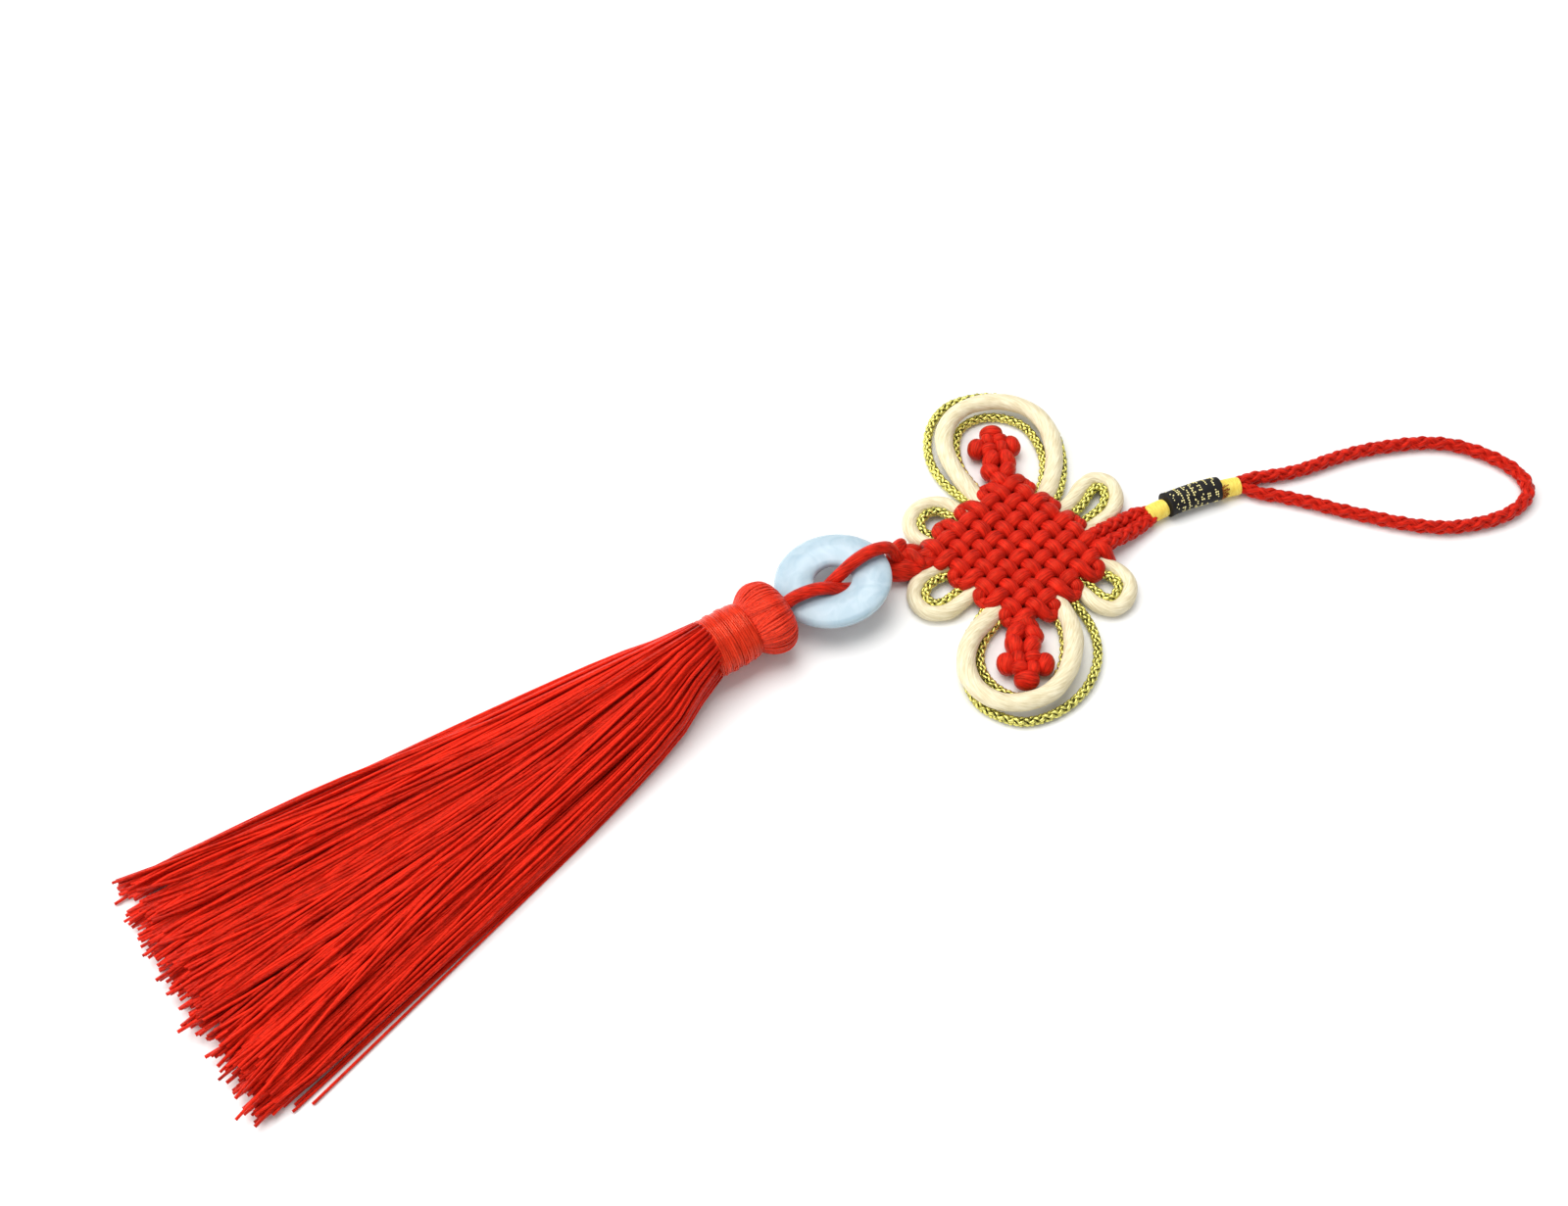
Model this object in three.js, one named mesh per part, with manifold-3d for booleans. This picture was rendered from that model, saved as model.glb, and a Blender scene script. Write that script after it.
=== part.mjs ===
// Chinese knot tassel, laid flat on its back: a hanging loop of braided cord, a bound sleeve,
// a woven square knot with its ears and side loops, a glass ring and a long thread tassel.
// Millimetres, +Z up. X runs from the tassel towards the hanging loop, Y away from the viewer.
// The surface that it lies on is z = 0, and the origin is the middle of its footprint there.

import * as THREE from 'three';
import { mergeVertices } from 'three/addons/utils/BufferGeometryUtils.js';
import Module from 'manifold-3d';

const wasm = await Module();
wasm.setup();

// Driving sizes

const GAP = 0.3;     // room kept between neighbouring pieces
const CLEAR = 0.4;   // the same, where a piece is cut to the shape of its neighbour
const LIFT = 0.05;   // room under what lies on the surface
const CORD = { ring: 3.0, beige: 4.0, gold: 2.0, braid: 3.4 };   // cord diameters
const WEAVE = { count: 8, pitch: 4.2, thick: 6.2 };

// The cords' turns at the weave's edges, and how many times the clearance their room is taller and wider
const TURN = { reach: [1.1, 2.0], rooted: 1.5, wide: 3.5, tall: 4.2, roomTall: 3, roomWide: 1.6 };

const RING = { radius: 15, hole: 5, thick: 4.8, tilt: 8, lean: 150.7, x: -46, y: -12.5, height: 6.75 };
const THREADING = 30;   // bearing of the cords through the ring, in degrees
const SLEEVE = { x: 34.2, y: 11.8, bearing: 21.5, wrapLength: 5.2, ribbonLength: 15.4 };
const WRAP = { wide: 5.0, thick: 4.6 };
const RIBBON = { wide: 6.4, thick: 5.6 };
const TASSEL = { x: -58.6, y: -20.9, bearing: 214, height: 7.9 };
const HEAD = { length: 10.6, wide: 20.4, thick: 16.6, coreWide: 12.4 };
const BAND = { length: 12, wide: 15.6, drawnIn: 0.4, shoulder: 1.2 };
const SKIRT = { bearing: 218, length: 134, rootLength: 16, rootWide: 26, rootThick: 8.6,
  rootMargin: 2.2, rootLift: 0.5, endWide: 64, start: 0.8 };
const STRAND = { columns: 20, rows: 6, size: 0.8, rowPitch: 1.32, level: 1.15, ragged: 5, bend: 1.8 };

// Facets round each kind of piece
const SIDES = { loop: 6, braid: 8, sleeve: 12, skirtRoot: 14, tassel: 16, ring: 24, ringSection: 10 };

// Where the knot's middle lies, seen from the middle of the footprint
const KNOT_PLACE = [73.39, 43.56, 0];

const MATERIALS = {
  red: { color: 0xd8231b, roughness: 0.55, metalness: 0 },
  thread: { color: 0xe8301f, roughness: 0.45, metalness: 0 },
  beige: { color: 0xf0e4c4, roughness: 0.5, metalness: 0 },
  gold: { color: 0xc9b93c, roughness: 0.35, metalness: 0.8 },
  yellow: { color: 0xf5c842, roughness: 0.5, metalness: 0 },
  brocade: { color: 0x1c1a1a, roughness: 0.6, metalness: 0 },
  glass: { color: 0xcfe3ee, roughness: 0.12, metalness: 0 },
};

// Helpers

const laid = new THREE.Group();
laid.position.set(...KNOT_PLACE);

function radians(degrees) {
  return degrees * Math.PI / 180;
}

function mix(a, b, t) {
  return a + (b - a) * t;
}

// A repeatable scatter between -1 and 1 for the strand's uneven ends
function scatter(seed) {
  const wave = Math.sin(seed * 12.9898) * 43758.5453;
  return 2 * (wave - Math.floor(wave)) - 1;
}

// An oval section as tall as deep, with a flat top and bottom
function ovalShape(deep, wide, sides) {
  const points = [];
  for (let k = 0; k < sides; k += 1) {
    const angle = (k + 0.5) * 2 * Math.PI / sides;
    const x = deep / 2 * Math.cos(angle) / Math.cos(Math.PI / sides);
    points.push(new THREE.Vector2(x, wide / 2 * Math.sin(angle)));
  }
  return new THREE.Shape(points);
}

// A smooth curve whose sections stand at the route's own points, each with its flats level
class Route extends THREE.CatmullRomCurve3 {
  constructor(points) {
    super(points.map((p) => new THREE.Vector3(...p)), false, 'centripetal');
  }

  getPointAt(u, target) {
    return this.getPoint(u, target);
  }

  computeFrenetFrames(segments) {
    const frames = { tangents: [], normals: [], binormals: [] };
    for (let k = 0; k <= segments; k += 1) {
      const tangent = this.getTangent(k / segments);
      const side = new THREE.Vector3(tangent.y, -tangent.x, 0).normalize();
      frames.tangents.push(tangent);
      frames.binormals.push(side.clone().negate());
      frames.normals.push(side.clone().cross(tangent).negate());
    }
    return frames;
  }
}

function tube(route, deep, wide, sides, stepsPerSpan = 1) {
  return new THREE.ExtrudeGeometry(ovalShape(deep, wide, sides), {
    steps: stepsPerSpan * (route.length - 1), bevelEnabled: false, extrudePath: new Route(route),
  });
}

function toManifold(geometry) {
  const bare = geometry.clone();
  bare.deleteAttribute('normal');
  bare.deleteAttribute('uv');
  const merged = mergeVertices(bare, 1e-4);
  return new wasm.Manifold(new wasm.Mesh({
    numProp: 3,
    vertProperties: new Float32Array(merged.attributes.position.array),
    triVerts: new Uint32Array(merged.index.array),
  }));
}

function toGeometry(manifold) {
  const mesh = manifold.getMesh();
  const geometry = new THREE.BufferGeometry();
  geometry.setAttribute('position', new THREE.BufferAttribute(mesh.vertProperties, 3));
  geometry.setIndex(new THREE.BufferAttribute(mesh.triVerts, 1));
  geometry.computeVertexNormals();
  return geometry;
}

function join(pieces) {
  return pieces.reduce((whole, piece) => whole.add(piece));
}

const BELOW = { wide: 600, deep: 40 };   // the room under the surface

// What is left above the surface
function restOn(solid) {
  const room = new THREE.BoxGeometry(BELOW.wide, BELOW.wide, BELOW.deep);
  return solid.subtract(toManifold(room.translate(0, 0, -BELOW.deep / 2)));
}

// The largest of the bodies that a cut leaves
function largest(solid) {
  const parts = solid.decompose();
  return parts.reduce((best, part) => (part.volume() > best.volume() ? part : best));
}

function addPiece(name, solid, material) {
  const geometry = solid.isBufferGeometry ? solid : toGeometry(solid);
  const mesh = new THREE.Mesh(geometry, new THREE.MeshStandardMaterial(MATERIALS[material]));
  mesh.name = name;
  laid.add(mesh);
}

// Woven knot: cords laid back and forth, over and under each other, in a square of crossings.
// Its upper face carries the weave, its lower face lies flat, and the cords turn at its edges.

const WEAVE_MID = WEAVE.thick / 2;
const weaveSide = WEAVE.count * WEAVE.pitch;

// Lines of points across one crossing, as shares of the pitch: groove, shoulder, crown, shoulder
const CROSSING_LINES = [0, 0.14, 0.5, 0.86];

// How high a crossing stands, by its place along and across the cord that lies on top
const CROSSING_HEIGHT = {
  crown: WEAVE.thick,
  alongShoulder: WEAVE.thick - 0.4,
  acrossShoulder: WEAVE.thick - 1.0,
  cornerShoulder: WEAVE.thick - 1.6,
  groove: WEAVE.thick - 2.6,
  gap: WEAVE.thick - 3.8,
};

function crossingHeight(lineX, lineY, overAlongX) {
  const [along, across] = overAlongX ? [lineX, lineY] : [lineY, lineX];
  if (along === 0 && across === 0) return CROSSING_HEIGHT.gap;
  if (along === 0 || across === 0) return CROSSING_HEIGHT.groove;
  if (along === 2 && across === 2) return CROSSING_HEIGHT.crown;
  if (along === 2) return CROSSING_HEIGHT.acrossShoulder;
  return across === 2 ? CROSSING_HEIGHT.alongShoulder : CROSSING_HEIGHT.cornerShoulder;
}

function weaveBlock() {
  const lines = CROSSING_LINES.length;
  const size = WEAVE.count * lines + 1;
  const positions = [];
  const index = [];
  const place = (k) => {
    const share = Math.floor(k / lines) + CROSSING_LINES[k % lines];
    return (share / WEAVE.count - 0.5) * weaveSide;
  };
  for (const upper of [true, false]) {
    for (let j = 0; j < size; j += 1) {
      for (let i = 0; i < size; i += 1) {
        const overAlongX = (Math.floor(i / lines) + Math.floor(j / lines)) % 2 === 0;
        const height = crossingHeight(i % lines, j % lines, overAlongX);
        positions.push(place(i), place(j), upper ? height : 0);
      }
    }
  }
  const below = size * size;
  for (let j = 0; j < size - 1; j += 1) {
    for (let i = 0; i < size - 1; i += 1) {
      const a = j * size + i;
      index.push(a, a + 1, a + size + 1, a, a + size + 1, a + size);
    }
  }
  const rim = [];
  for (let k = 0; k < size - 1; k += 1) rim.push(k);
  for (let k = 0; k < size - 1; k += 1) rim.push(k * size + size - 1);
  for (let k = size - 1; k > 0; k -= 1) rim.push((size - 1) * size + k);
  for (let k = size - 1; k > 0; k -= 1) rim.push(k * size);
  const middle = below + (size * size - 1) / 2;
  rim.forEach((a, k) => {
    const b = rim[(k + 1) % rim.length];
    index.push(a, a + below, b + below, a, b + below, b);
    index.push(middle, b + below, a + below);
  });
  const geometry = new THREE.BufferGeometry();
  geometry.setAttribute('position', new THREE.Float32BufferAttribute(positions, 3));
  geometry.setIndex(index);
  return toManifold(geometry);
}

// A turn: the cord leaves one row, stands out of the edge and goes back into the next row
function edgeTurn(side, row, grow) {
  const edge = weaveSide / 2;
  const y = (row - WEAVE.count / 2 + 0.5) * WEAVE.pitch;
  const reach = TURN.reach[row % 2];
  const route = [
    [edge - TURN.rooted, y, WEAVE_MID],
    [edge + reach * 0.6, y + 0.1 * WEAVE.pitch, WEAVE_MID],
    [edge + reach, y + 0.5 * WEAVE.pitch, WEAVE_MID],
    [edge + reach * 0.6, y + 0.9 * WEAVE.pitch, WEAVE_MID],
    [edge - TURN.rooted, y + WEAVE.pitch, WEAVE_MID],
  ];
  const tall = TURN.tall + TURN.roomTall * grow;
  const turn = tube(route, tall, TURN.wide + TURN.roomWide * grow, SIDES.loop);
  return toManifold(turn.rotateZ(side * Math.PI / 2));
}

function withTurns(block, grow) {
  const pieces = [block];
  for (let side = 0; side < 4; side += 1) {
    for (let row = side % 2; row < WEAVE.count - 1; row += 2) pieces.push(edgeTurn(side, row, grow));
  }
  return join(pieces).rotate([0, 0, 45]);
}

addPiece('knot_body', withTurns(weaveBlock(), 0), 'red');

// The room that the weave takes, for what is tied into its edges
const roomSide = weaveSide + 2 * GAP;
const roomBox = new THREE.BoxGeometry(roomSide, roomSide, 4 * WEAVE.thick);
const weaveRoom = withTurns(toManifold(roomBox), CLEAR);

// Small knots built of rounded lobes: the side knots and the button knot

const LOBE = { around: 7, upward: 5 };

function lobe({ x, y, z, along, across, tall, bearing = 0 }) {
  const ball = new THREE.SphereGeometry(0.5, LOBE.around, LOBE.upward).rotateX(Math.PI / 2);
  ball.scale(along, across, tall).rotateZ(radians(bearing)).translate(x, y, z);
  return toManifold(ball);
}

// A side knot, pointing along +Y from its middle, with its stem towards the weave
const SIDE_KNOT = [
  { x: 0, y: 0, z: 2.8, along: 6.4, across: 6.4, tall: 6.0, bearing: 45 },
  { x: -4.3, y: 0.2, z: 2.6, along: 5.4, across: 4.8, tall: 5.4 },
  { x: 4.3, y: 0.2, z: 2.6, along: 5.4, across: 4.8, tall: 5.4 },
  { x: 0, y: 4.4, z: 2.6, along: 4.8, across: 5.4, tall: 5.4 },
  { x: -2.0, y: -7.2, z: 2.6, along: 4.2, across: 11.4, tall: 5.4, bearing: -6 },
  { x: 2.2, y: -7.2, z: 2.6, along: 4.2, across: 11.4, tall: 5.4, bearing: 6 },
];

function sideKnot({ x, y, turn }) {
  const knot = join(SIDE_KNOT.map(lobe)).rotate([0, 0, turn]).translate([x, y, 0]);
  return largest(restOn(knot).subtract(weaveRoom));
}

addPiece('side_knot_near', sideKnot({ x: -0.6, y: -33.4, turn: 180 }), 'red');
addPiece('side_knot_far', sideKnot({ x: -3.6, y: 33.4, turn: 7 }), 'red');

const BUTTON_KNOT = [
  { x: -28.0, y: -5.6, z: 3.0, along: 9.4, across: 6.2, tall: 6.0, bearing: 12 },
  { x: -28.6, y: -1.9, z: 3.2, along: 7.8, across: 4.8, tall: 5.6, bearing: -24 },
  { x: -22.6, y: -2.0, z: 3.0, along: 7.0, across: 4.2, tall: 4.4, bearing: 28 },
];

// Cord loops that stand out of the weave's edges, each a route of [x, y, z] from edge to edge

const LOW = { beige: CORD.beige / 2, gold: CORD.gold / 2 };
const RIDE = CORD.gold + GAP + CORD.beige / 2;   // a beige side loop lies on the gold ones

const EARS = {
  far_right: [[11.4, 12.6], [15.7, 17.3], [18.3, 21.4], [21.6, 24.0], [25.4, 22.8], [26.8, 18.4],
    [25.4, 13.6], [21.8, 9.8], [16.6, 6.0]],
  near_right: [[17.0, -2.8], [21.7, -3.6], [25.4, -6.0], [27.2, -9.6], [25.8, -14.4], [22.4, -17.0],
    [18.6, -15.8], [15.4, -12.4], [11.6, -9.0]],
  near_left: [[-17.2, -3.6], [-21.8, -5.6], [-25.4, -9.2], [-26.4, -14.0], [-23.4, -18.0],
    [-18.8, -18.0], [-14.8, -15.0], [-10.6, -11.0]],
  far_left: [[-9.6, 9.4], [-14.0, 13.6], [-18.8, 16.0], [-23.8, 14.6], [-26.6, 10.2], [-25.6, 5.4],
    [-20.0, 1.4]],
};

const SIDE_LOOPS = {
  near_beige: [[-4.6, -14.6], [-8.6, -20.3], [-12.3, -25.4], [-14.8, -31.8], [-14.7, -37.9],
    [-12.2, -42.3], [-7.8, -45.1], [-2.0, -45.3], [4.0, -42.9], [8.4, -37.9], [10.9, -30.9],
    [11.3, -23.8], [9.6, -17.0], [7.0, -12.0]],
  near_gold_inner: [[-3.4, -16.0], [-6.4, -21.0], [-9.9, -26.0], [-11.2, -31.0], [-10.4, -36.0],
    [-7.4, -40.0], [-2.8, -42.2], [2.6, -41.0], [6.6, -37.0], [9.0, -31.0], [9.4, -24.0],
    [7.6, -17.4], [5.6, -13.0]],
  near_gold_outer: [[-6.8, -13.6], [-10.6, -19.6], [-13.8, -25.0], [-15.4, -31.6], [-14.8, -38.4],
    [-12.0, -44.4], [-6.8, -47.9], [-2.0, -49.0], [3.9, -47.5], [10.1, -43.5], [14.6, -38.0],
    [17.2, -31.0], [17.2, -24.4], [14.8, -17.8], [11.0, -12.4], [8.4, -9.4]],
  far_beige: [[-5.6, 13.8], [-10.1, 18.8], [-14.2, 25.2], [-16.4, 31.0], [-16.6, 37.0], [-14.6, 42.3],
    [-10.5, 46.3], [-5.1, 48.3], [1.4, 48.1], [7.2, 45.0], [10.8, 38.8], [11.8, 31.0],
    [10.3, 22.5], [6.4, 14.0]],
  far_gold_inner: [[-4.4, 15.0], [-9.0, 21.0], [-12.0, 26.6], [-13.2, 31.6], [-13.2, 37.4],
    [-11.2, 42.2], [-6.4, 45.2], [-1.0, 45.4], [4.8, 42.6], [8.0, 37.0], [9.2, 30.2],
    [8.0, 22.5], [4.8, 15.4]],
  far_gold_outer: [[-7.8, 12.8], [-12.4, 18.2], [-16.9, 24.5], [-19.2, 31.0], [-19.3, 37.5],
    [-17.5, 44.0], [-13.8, 49.2], [-8.6, 51.9], [-3.3, 52.8], [3.4, 51.4], [9.0, 47.5],
    [12.8, 41.0], [14.2, 34.0], [14.0, 27.0], [12.2, 19.6], [8.4, 12.4]],
};

// The route lifted to its height, and no lower than the weave's mid height where it is tied in
function raised(route, height) {
  const last = route.length - 1;
  const tiedIn = Math.max(height, WEAVE_MID - 1);
  return route.map(([x, y], k) => [x, y, k === 0 || k === last ? tiedIn : height]);
}

function loopPiece(route, height, diameter) {
  const solid = toManifold(tube(raised(route, height), diameter, diameter, SIDES.loop));
  return largest(solid.subtract(weaveRoom));
}

// The gold cord that lies along the inside of an ear
function insideOf(route, offset) {
  const curve = new Route(route.map(([x, y]) => [x, y, 0]));
  const middle = new THREE.Vector2();
  for (const [x, y] of route) middle.add(new THREE.Vector2(x, y).divideScalar(route.length));
  return route.map(([x, y], k) => {
    const tangent = curve.getTangent(k / (route.length - 1));
    const side = new THREE.Vector2(-tangent.y, tangent.x);
    const inward = Math.sign(side.x * (middle.x - x) + side.y * (middle.y - y));
    return [x + inward * offset * side.x, y + inward * offset * side.y];
  });
}

const sideBySide = (CORD.beige + CORD.gold) / 2 + CLEAR;
const insideOffset = Math.sqrt(sideBySide ** 2 - (LOW.beige - LOW.gold) ** 2);
for (const [place, route] of Object.entries(EARS)) {
  addPiece(`ear_${place}_beige`, loopPiece(route, LOW.beige, CORD.beige), 'beige');
  addPiece(`ear_${place}_gold`, loopPiece(insideOf(route, insideOffset), LOW.gold, CORD.gold), 'gold');
}

// The button knot lies against the near left ear
const earWide = CORD.beige + 2 * CLEAR;
const earRoom = toManifold(tube(raised(EARS.near_left, LOW.beige), earWide, earWide, SIDES.loop));
const buttonKnot = restOn(join(BUTTON_KNOT.map(lobe))).subtract(weaveRoom).subtract(earRoom);
addPiece('button_knot', largest(buttonKnot), 'red');

for (const [name, route] of Object.entries(SIDE_LOOPS)) {
  const beige = name.endsWith('beige');
  const piece = loopPiece(route, beige ? RIDE : LOW.gold, beige ? CORD.beige : CORD.gold);
  addPiece(`side_loop_${name}`, piece, beige ? 'beige' : 'gold');
}

// Bound sleeve: two thread wraps with a woven ribbon between them

const sleeveAxis = new THREE.Vector2(Math.cos(radians(SLEEVE.bearing)), Math.sin(radians(SLEEVE.bearing)));

function alongSleeve(distance, sideways = 0, z = 0) {
  return [SLEEVE.x + distance * sleeveAxis.x - sideways * sleeveAxis.y,
    SLEEVE.y + distance * sleeveAxis.y + sideways * sleeveAxis.x, z];
}

function boundStretch(start, length, size) {
  const z = size.thick / 2;
  const ends = [alongSleeve(start, 0, z), alongSleeve(start + length, 0, z)];
  return tube(ends, size.thick, size.wide, SIDES.sleeve);
}

const ribbonStart = SLEEVE.wrapLength + GAP;
const upperStart = ribbonStart + SLEEVE.ribbonLength + GAP;
const sleeveLength = upperStart + SLEEVE.wrapLength;
addPiece('wrap_lower', boundStretch(0, SLEEVE.wrapLength, WRAP), 'yellow');
addPiece('ribbon_sleeve', boundStretch(ribbonStart, SLEEVE.ribbonLength, RIBBON), 'brocade');
addPiece('wrap_upper', boundStretch(upperStart, SLEEVE.wrapLength, WRAP), 'yellow');

// Two braided cords from the weave's corner to the sleeve, side by side

const pairOffset = (CORD.braid + CLEAR) / 2;
const NECK = [
  { x: 19.2, y: 0.2, z: 4.4, apart: 1.0 },
  { x: 23.8, y: 3.4, z: 4.2, apart: 1.05 },
  { x: 28.6, y: 7.8, z: 2.4, apart: 1.15 },
  { x: 33.9, y: 11.7, z: 2.2, apart: 1.0 },
];
const neckAcross = new THREE.Vector2(-0.64, 0.77);
const sleeveRoomSize = { wide: 4 * WRAP.wide, thick: 4 * WRAP.thick };
const sleeveRoom = toManifold(boundStretch(-GAP, sleeveLength, sleeveRoomSize));
for (const [name, side] of [['neck_cord_far', 1], ['neck_cord_near', -1]]) {
  const route = NECK.map(({ x, y, z, apart }) => {
    const sideways = side * pairOffset * apart;
    return [x + sideways * neckAcross.x, y + sideways * neckAcross.y, z];
  });
  const cord = toManifold(tube(route, CORD.braid, CORD.braid, SIDES.braid, 2));
  addPiece(name, largest(cord.subtract(weaveRoom).subtract(sleeveRoom)), 'red');
}

// Hanging loop: one braided cord out of the sleeve and back, lying in the loose loop of the photo

const HANG_HEIGHT = CORD.braid / 2 + LIFT;
const HANG_LOOP = [
  [62.6, 24.2], [68.5, 25.2], [73.8, 26.4], [79.3, 28.4], [84.9, 30.8], [90.4, 32.7], [95.8, 34.2],
  [101.2, 35.2], [106.5, 36.0], [111.7, 36.2], [116.7, 35.6], [121.5, 34.0], [126.1, 31.6],
  [130.4, 28.2], [133.0, 24.2], [133.4, 20.6], [131.9, 17.2], [128.3, 13.8], [123.9, 11.4],
  [118.5, 9.6], [110.8, 8.3], [103.4, 8.7], [96.2, 10.2], [91.5, 11.5], [86.8, 12.9], [82.0, 14.4],
  [77.3, 16.0], [72.5, 17.4], [67.8, 18.6], [63.8, 19.3],
];
const loopExit = sleeveLength + 3 * GAP;
const hangRoute = [
  alongSleeve(loopExit, pairOffset, WRAP.thick / 2),
  ...HANG_LOOP.map(([x, y]) => [x, y, HANG_HEIGHT]),
  alongSleeve(loopExit, -pairOffset, WRAP.thick / 2),
];
addPiece('hang_loop', tube(hangRoute, CORD.braid, CORD.braid, SIDES.braid), 'red');

// Glass ring, leaning on the cords that are threaded through it

// Its section is an oval with full shoulders
function ringProfile() {
  const middle = (RING.radius + RING.hole) / 2;
  const reach = (RING.radius - RING.hole) / 2;
  const points = [];
  for (let k = 0; k < SIDES.ringSection; k += 1) {
    const angle = 2 * k * Math.PI / SIDES.ringSection;
    const bulge = Math.sign(Math.sin(angle)) * Math.abs(Math.sin(angle)) ** 0.8;
    points.push(new THREE.Vector2(middle + reach * Math.cos(angle), RING.thick / 2 * bulge));
  }
  return [...points, points[0].clone()];
}

const leanTo = new THREE.Vector3(Math.cos(radians(RING.lean)), Math.sin(radians(RING.lean)), 0);
const ringNormal = new THREE.Vector3(0, 0, Math.cos(radians(RING.tilt)))
  .addScaledVector(leanTo, Math.sin(radians(RING.tilt)));
const ring = new THREE.LatheGeometry(ringProfile(), SIDES.ring).rotateX(Math.PI / 2);
ring.applyQuaternion(new THREE.Quaternion().setFromUnitVectors(new THREE.Vector3(0, 0, 1), ringNormal));
ring.translate(RING.x, RING.y, RING.height);
addPiece('glass_ring', ring, 'glass');

// Tassel head: threads folded over and drawn in, with the core that the band is wound on

const headLean = HEAD.thick / HEAD.wide;   // lying down, the bundle is a little wider than tall

// Distance from the head's end against radius: the dimple, the dome and the drawn-in core
function headProfile(grow) {
  const half = HEAD.wide / 2;
  const core = HEAD.coreWide / 2;
  const end = HEAD.length + BAND.length;
  const dimple = 3;
  return [
    [2.0, 0], [1.2, 0.16 * half], [0.1, 0.34 * half], [0.3, 0.6 * half], [2.0, 0.86 * half],
    [4.8, half], [7.6, 0.93 * half], [9.6, 0.76 * half], [10.4, core], [end, core], [end, 0],
  ].map(([distance, radius], k, all) => {
    const outward = distance < dimple ? -grow : 0;
    const wider = k === 0 || k === all.length - 1 ? 0 : grow;
    return new THREE.Vector2(radius + wider, distance + outward);
  });
}

function alongTassel(geometry) {
  geometry.rotateZ(-Math.PI / 2).scale(1, 1, headLean);
  return geometry.rotateZ(radians(TASSEL.bearing)).translate(TASSEL.x, TASSEL.y, TASSEL.height);
}

function tasselHead(grow) {
  return toManifold(alongTassel(new THREE.LatheGeometry(headProfile(grow), SIDES.tassel)));
}

addPiece('tassel_head', restOn(tasselHead(0)), 'thread');

// The wound band: a closed sleeve of thread around the core

const bandInner = HEAD.coreWide / 2 + CLEAR;
const bandOuter = BAND.wide / 2;
const bandStart = HEAD.length + GAP;
const bandEnd = HEAD.length + BAND.length;
const BAND_PROFILE = [
  [bandInner, bandStart],
  [bandOuter - BAND.drawnIn, bandStart],
  [bandOuter, bandStart + BAND.shoulder],
  [bandOuter, bandEnd - BAND.shoulder],
  [bandOuter - BAND.drawnIn, bandEnd],
  [bandInner, bandEnd],
  [bandInner, bandStart],
].map(([radius, distance]) => new THREE.Vector2(radius, distance));
addPiece('tassel_band', alongTassel(new THREE.LatheGeometry(BAND_PROFILE, SIDES.tassel)), 'thread');

// Cords through the ring, one over each side of it and both down through its hole

// Each route in the ring's own frame: along its threading, sideways, and above its middle plane
const RING_CORDS = {
  ring_cord_knot: [[18.7, -0.2, -4.5], [17.6, 0, -0.6], [16.2, 0.2, 2.6], [12.8, 0.3, 4.3],
    [9.5, 0.4, 4.5], [5.7, 0.3, 3.9], [2.6, 0.5, 2.0], [0, 0.7, 0.2], [-2.4, 0.8, -1.7], [-4.6, 0.9, -3.4],
    [-7.4, 0.9, -4.4], [-10.4, 0.8, -4.45], [-13.4, 0.5, -4.2], [-16.8, 0, -3.0]],
  ring_cord_tassel: [[-16.8, -0.9, 3.0], [-14.6, -1.0, 3.6], [-12.0, -1.1, 4.3], [-9.2, -1.4, 4.5],
    [-6.2, -1.9, 4.2], [-3.4, -2.4, 3.0], [-1.0, -2.6, 1.0], [1.5, -2.5, -1.1], [4.0, -2.0, -3.2],
    [7.4, -1.5, -4.4], [10.6, -1.4, -4.7], [13.8, -1.4, -4.9], [16.4, -1.7, -5.0]],
};
const threadingAxis = new THREE.Vector3(Math.cos(radians(THREADING)), Math.sin(radians(THREADING)), 0);
const acrossRing = ringNormal.clone().cross(threadingAxis).normalize();
const alongRing = acrossRing.clone().cross(ringNormal);

function inRing([along, sideways, above]) {
  return new THREE.Vector3(RING.x, RING.y, RING.height)
    .addScaledVector(alongRing, along).addScaledVector(acrossRing, sideways)
    .addScaledVector(ringNormal, above).toArray();
}

const headRoom = tasselHead(2 * CLEAR);
const buttonRoom = join(BUTTON_KNOT.map((size) => lobe({
  ...size,
  along: size.along + 2 * CLEAR,
  across: size.across + 2 * CLEAR,
  tall: size.tall + 2 * CLEAR,
})));
for (const [name, route] of Object.entries(RING_CORDS)) {
  const cord = toManifold(tube(route.map(inRing), CORD.ring, CORD.ring, SIDES.braid));
  addPiece(name, largest(cord.subtract(headRoom).subtract(buttonRoom)), 'red');
}

// Skirt: threads that leave a short dense root in six layers and fan out over the surface

const skirtAxis = new THREE.Vector2(Math.cos(radians(SKIRT.bearing)), Math.sin(radians(SKIRT.bearing)));
const bundleAxis = new THREE.Vector2(Math.cos(radians(TASSEL.bearing)), Math.sin(radians(TASSEL.bearing)));
const rootStart = new THREE.Vector2(TASSEL.x, TASSEL.y)
  .addScaledVector(bundleAxis, HEAD.length + BAND.length + SKIRT.start);
const rootFaceZ = SKIRT.rootThick / 2 + SKIRT.rootLift;

function alongSkirt(distance, sideways, z) {
  return new THREE.Vector3(
    rootStart.x + distance * skirtAxis.x - sideways * skirtAxis.y,
    rootStart.y + distance * skirtAxis.y + sideways * skirtAxis.x,
    z,
  );
}

// The root: sections that go from the band's oval to a wider and flatter one
const ROOT_SECTIONS = [
  { distance: 0, wide: 13.6, thick: 11.2, z: TASSEL.height - 0.2 },
  { distance: 5, wide: 16.6, thick: 11.0, z: 6.8 },
  { distance: 11, wide: 22.0, thick: 9.8, z: 5.6 },
  { distance: SKIRT.rootLength, wide: SKIRT.rootWide, thick: SKIRT.rootThick, z: rootFaceZ },
];

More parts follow.
